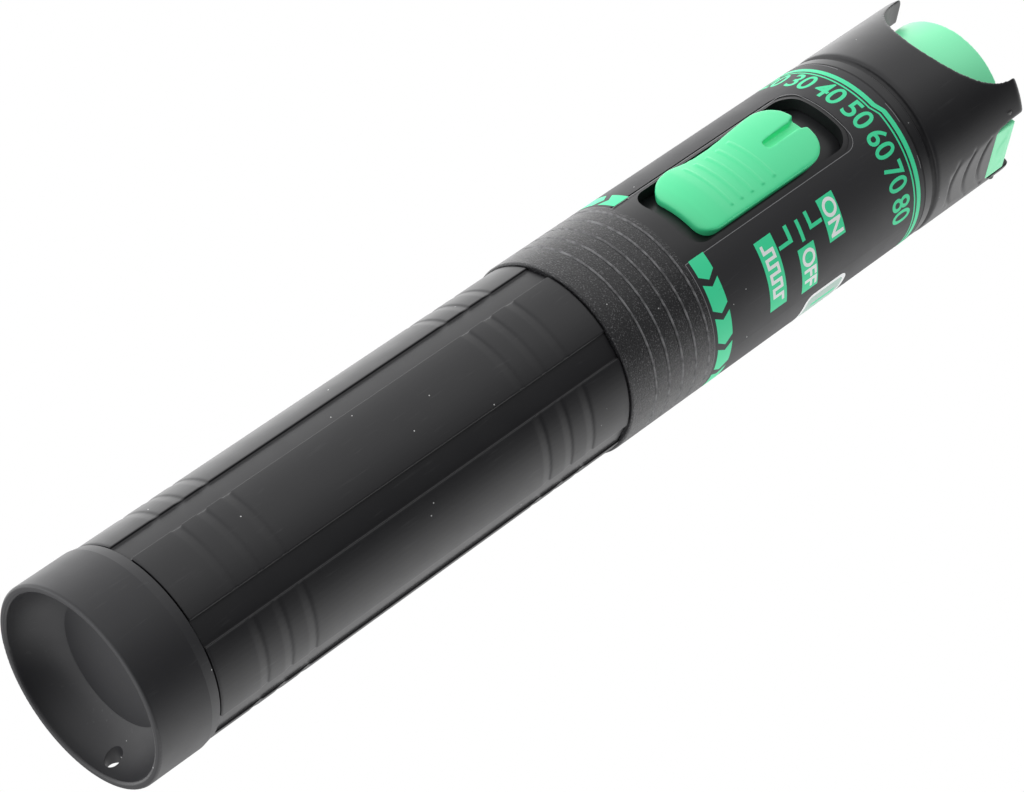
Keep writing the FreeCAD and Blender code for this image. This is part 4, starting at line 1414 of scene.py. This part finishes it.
@dataclass
class Studio:
    """Camera, soft light and a pale floor that shows from above only.

    The surround holds (share of a turn, brightness) pairs, counted from opposite the dark bearing.
    """

    eye: Vector = field(default_factory=lambda: Vector((206.2, -364.4, -197.1)) * MM)
    forward: Vector = field(default_factory=lambda: Vector((-0.4104, 0.7290, 0.5479)))
    upward: Vector = field(default_factory=lambda: Vector((-0.5616, -0.6754, 0.4779)))
    lens_mm: float = 130.67
    floor_size: float = 6.0
    floor_drop: float = 0.05 * MM
    dark_bearing: float = -27.0
    surround: tuple[tuple[float, float], ...] = (
        (0.0, 2.15), (0.075, 1.85), (0.16, 1.42), (0.24, 1.0), (0.33, 1.02), (0.40, 0.5),
        (0.45, 0.22), (0.495, 0.03), (0.548, 0.02), (0.588, 0.5), (0.63, 1.05), (0.69, 1.42),
        (0.76, 1.45), (0.81, 1.15), (0.86, 0.45), (0.92, 0.6), (0.97, 2.3),
    )

    def build(self) -> None:
        """Sets up the camera, the light and the floor."""
        self._camera()
        self._light()
        self._floor()
        scene = bpy.context.scene
        scene.view_settings.view_transform = "Standard"
        scene.view_settings.look = "None"

    def _camera(self) -> None:
        """A long lens that looks up along the tool from beyond its tail."""
        data = bpy.data.cameras.new("camera")
        data.sensor_width = 36.0
        data.lens = self.lens_mm
        data.clip_start = 0.01
        data.clip_end = 20.0
        camera = bpy.data.objects.new("camera", data)
        bpy.context.scene.collection.objects.link(camera)
        back = -self.forward.normalized()
        right = self.upward.cross(back).normalized()
        up = back.cross(right)
        turn = Matrix((right, up, back)).transposed()
        camera.matrix_world = Matrix.Translation(self.eye) @ turn.to_4x4()
        bpy.context.scene.camera = camera

    def _light(self) -> None:
        """A surround that changes with its bearing, and plain white behind the tool."""
        world = bpy.data.worlds.new("soft_studio")
        bpy.context.scene.world = world
        world.use_nodes = True
        nodes = Nodes(world.node_tree)
        way = nodes.add("ShaderNodeSeparateXYZ")
        nodes.link(nodes.add("ShaderNodeTexCoord").outputs["Generated"], way.inputs[0])
        bearing = nodes.math("ARCTAN2", way.outputs["Y"], way.outputs["X"])
        turned = nodes.math("SUBTRACT", bearing, math.radians(self.dark_bearing))
        share = nodes.math("FRACT", nodes.math("ADD", nodes.math("DIVIDE", turned, 2 * math.pi), 1.5))
        level = nodes.ramp(share, list(self.surround))
        light = nodes.add("ShaderNodeBackground")
        nodes.link(level, light.inputs["Color"])
        white = nodes.add("ShaderNodeBackground")
        white.inputs["Color"].default_value = (1.0, 1.0, 1.0, 1.0)
        seen = nodes.add("ShaderNodeLightPath")
        mix = nodes.add("ShaderNodeMixShader")
        nodes.link(seen.outputs["Is Camera Ray"], mix.inputs[0])
        nodes.link(light.outputs[0], mix.inputs[1])
        nodes.link(white.outputs[0], mix.inputs[2])
        nodes.close(mix.outputs[0], "ShaderNodeOutputWorld")

    def _floor(self) -> None:
        """A pale table top under the tail, clear from below."""
        deselect_all()
        bpy.ops.mesh.primitive_plane_add(size=self.floor_size, location=(0.0, 0.0, -self.floor_drop))
        floor = bpy.context.object
        floor.name = "table_top"
        bake_place(floor)
        material, nodes = new_material("pale_table")
        paint = nodes.add("ShaderNodeBsdfPrincipled")
        paint.inputs["Base Color"].default_value = (0.86, 0.86, 0.86, 1.0)
        paint.inputs["Roughness"].default_value = 0.8
        clear = nodes.add("ShaderNodeBsdfTransparent")
        under = nodes.add("ShaderNodeNewGeometry")
        mix = nodes.add("ShaderNodeMixShader")
        nodes.link(under.outputs["Backfacing"], mix.inputs[0])
        nodes.link(paint.outputs[0], mix.inputs[1])
        nodes.link(clear.outputs[0], mix.inputs[2])
        nodes.close(mix.outputs[0])
        floor.data.materials.append(material)
        floor.visible_diffuse = False
        floor.visible_glossy = False
        floor.visible_transmission = False
        floor.visible_shadow = False


# ---------------------------------------------------------------- assembly


def dress_nodes(paints: Paintbox) -> None:
    """Gives every CAD node its finish.

    Args:
        paints: the finishes.
    """
    for name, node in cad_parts.items():
        paints.give(node, NODE_FINISH[name])
        LOG.info("dressed %s in %s", name, NODE_FINISH[name])


def main() -> None:
    """Builds the pieces in order and sets the studio."""
    logging.basicConfig(level=logging.INFO, format="%(name)s: %(message)s")
    paints = Paintbox()
    dress_nodes(paints)
    made = [GripSleeve(paints).build(), ThumbSlider(paints).build(), DustCap(paints).build(),
            CrownGuard(paints).build()]
    made += LabelPrints(paints).build()
    for piece in made:
        LOG.info("made %s with %d faces", piece.name, len(piece.data.polygons))
    Studio().build()


if __name__ == "__main__":
    main()
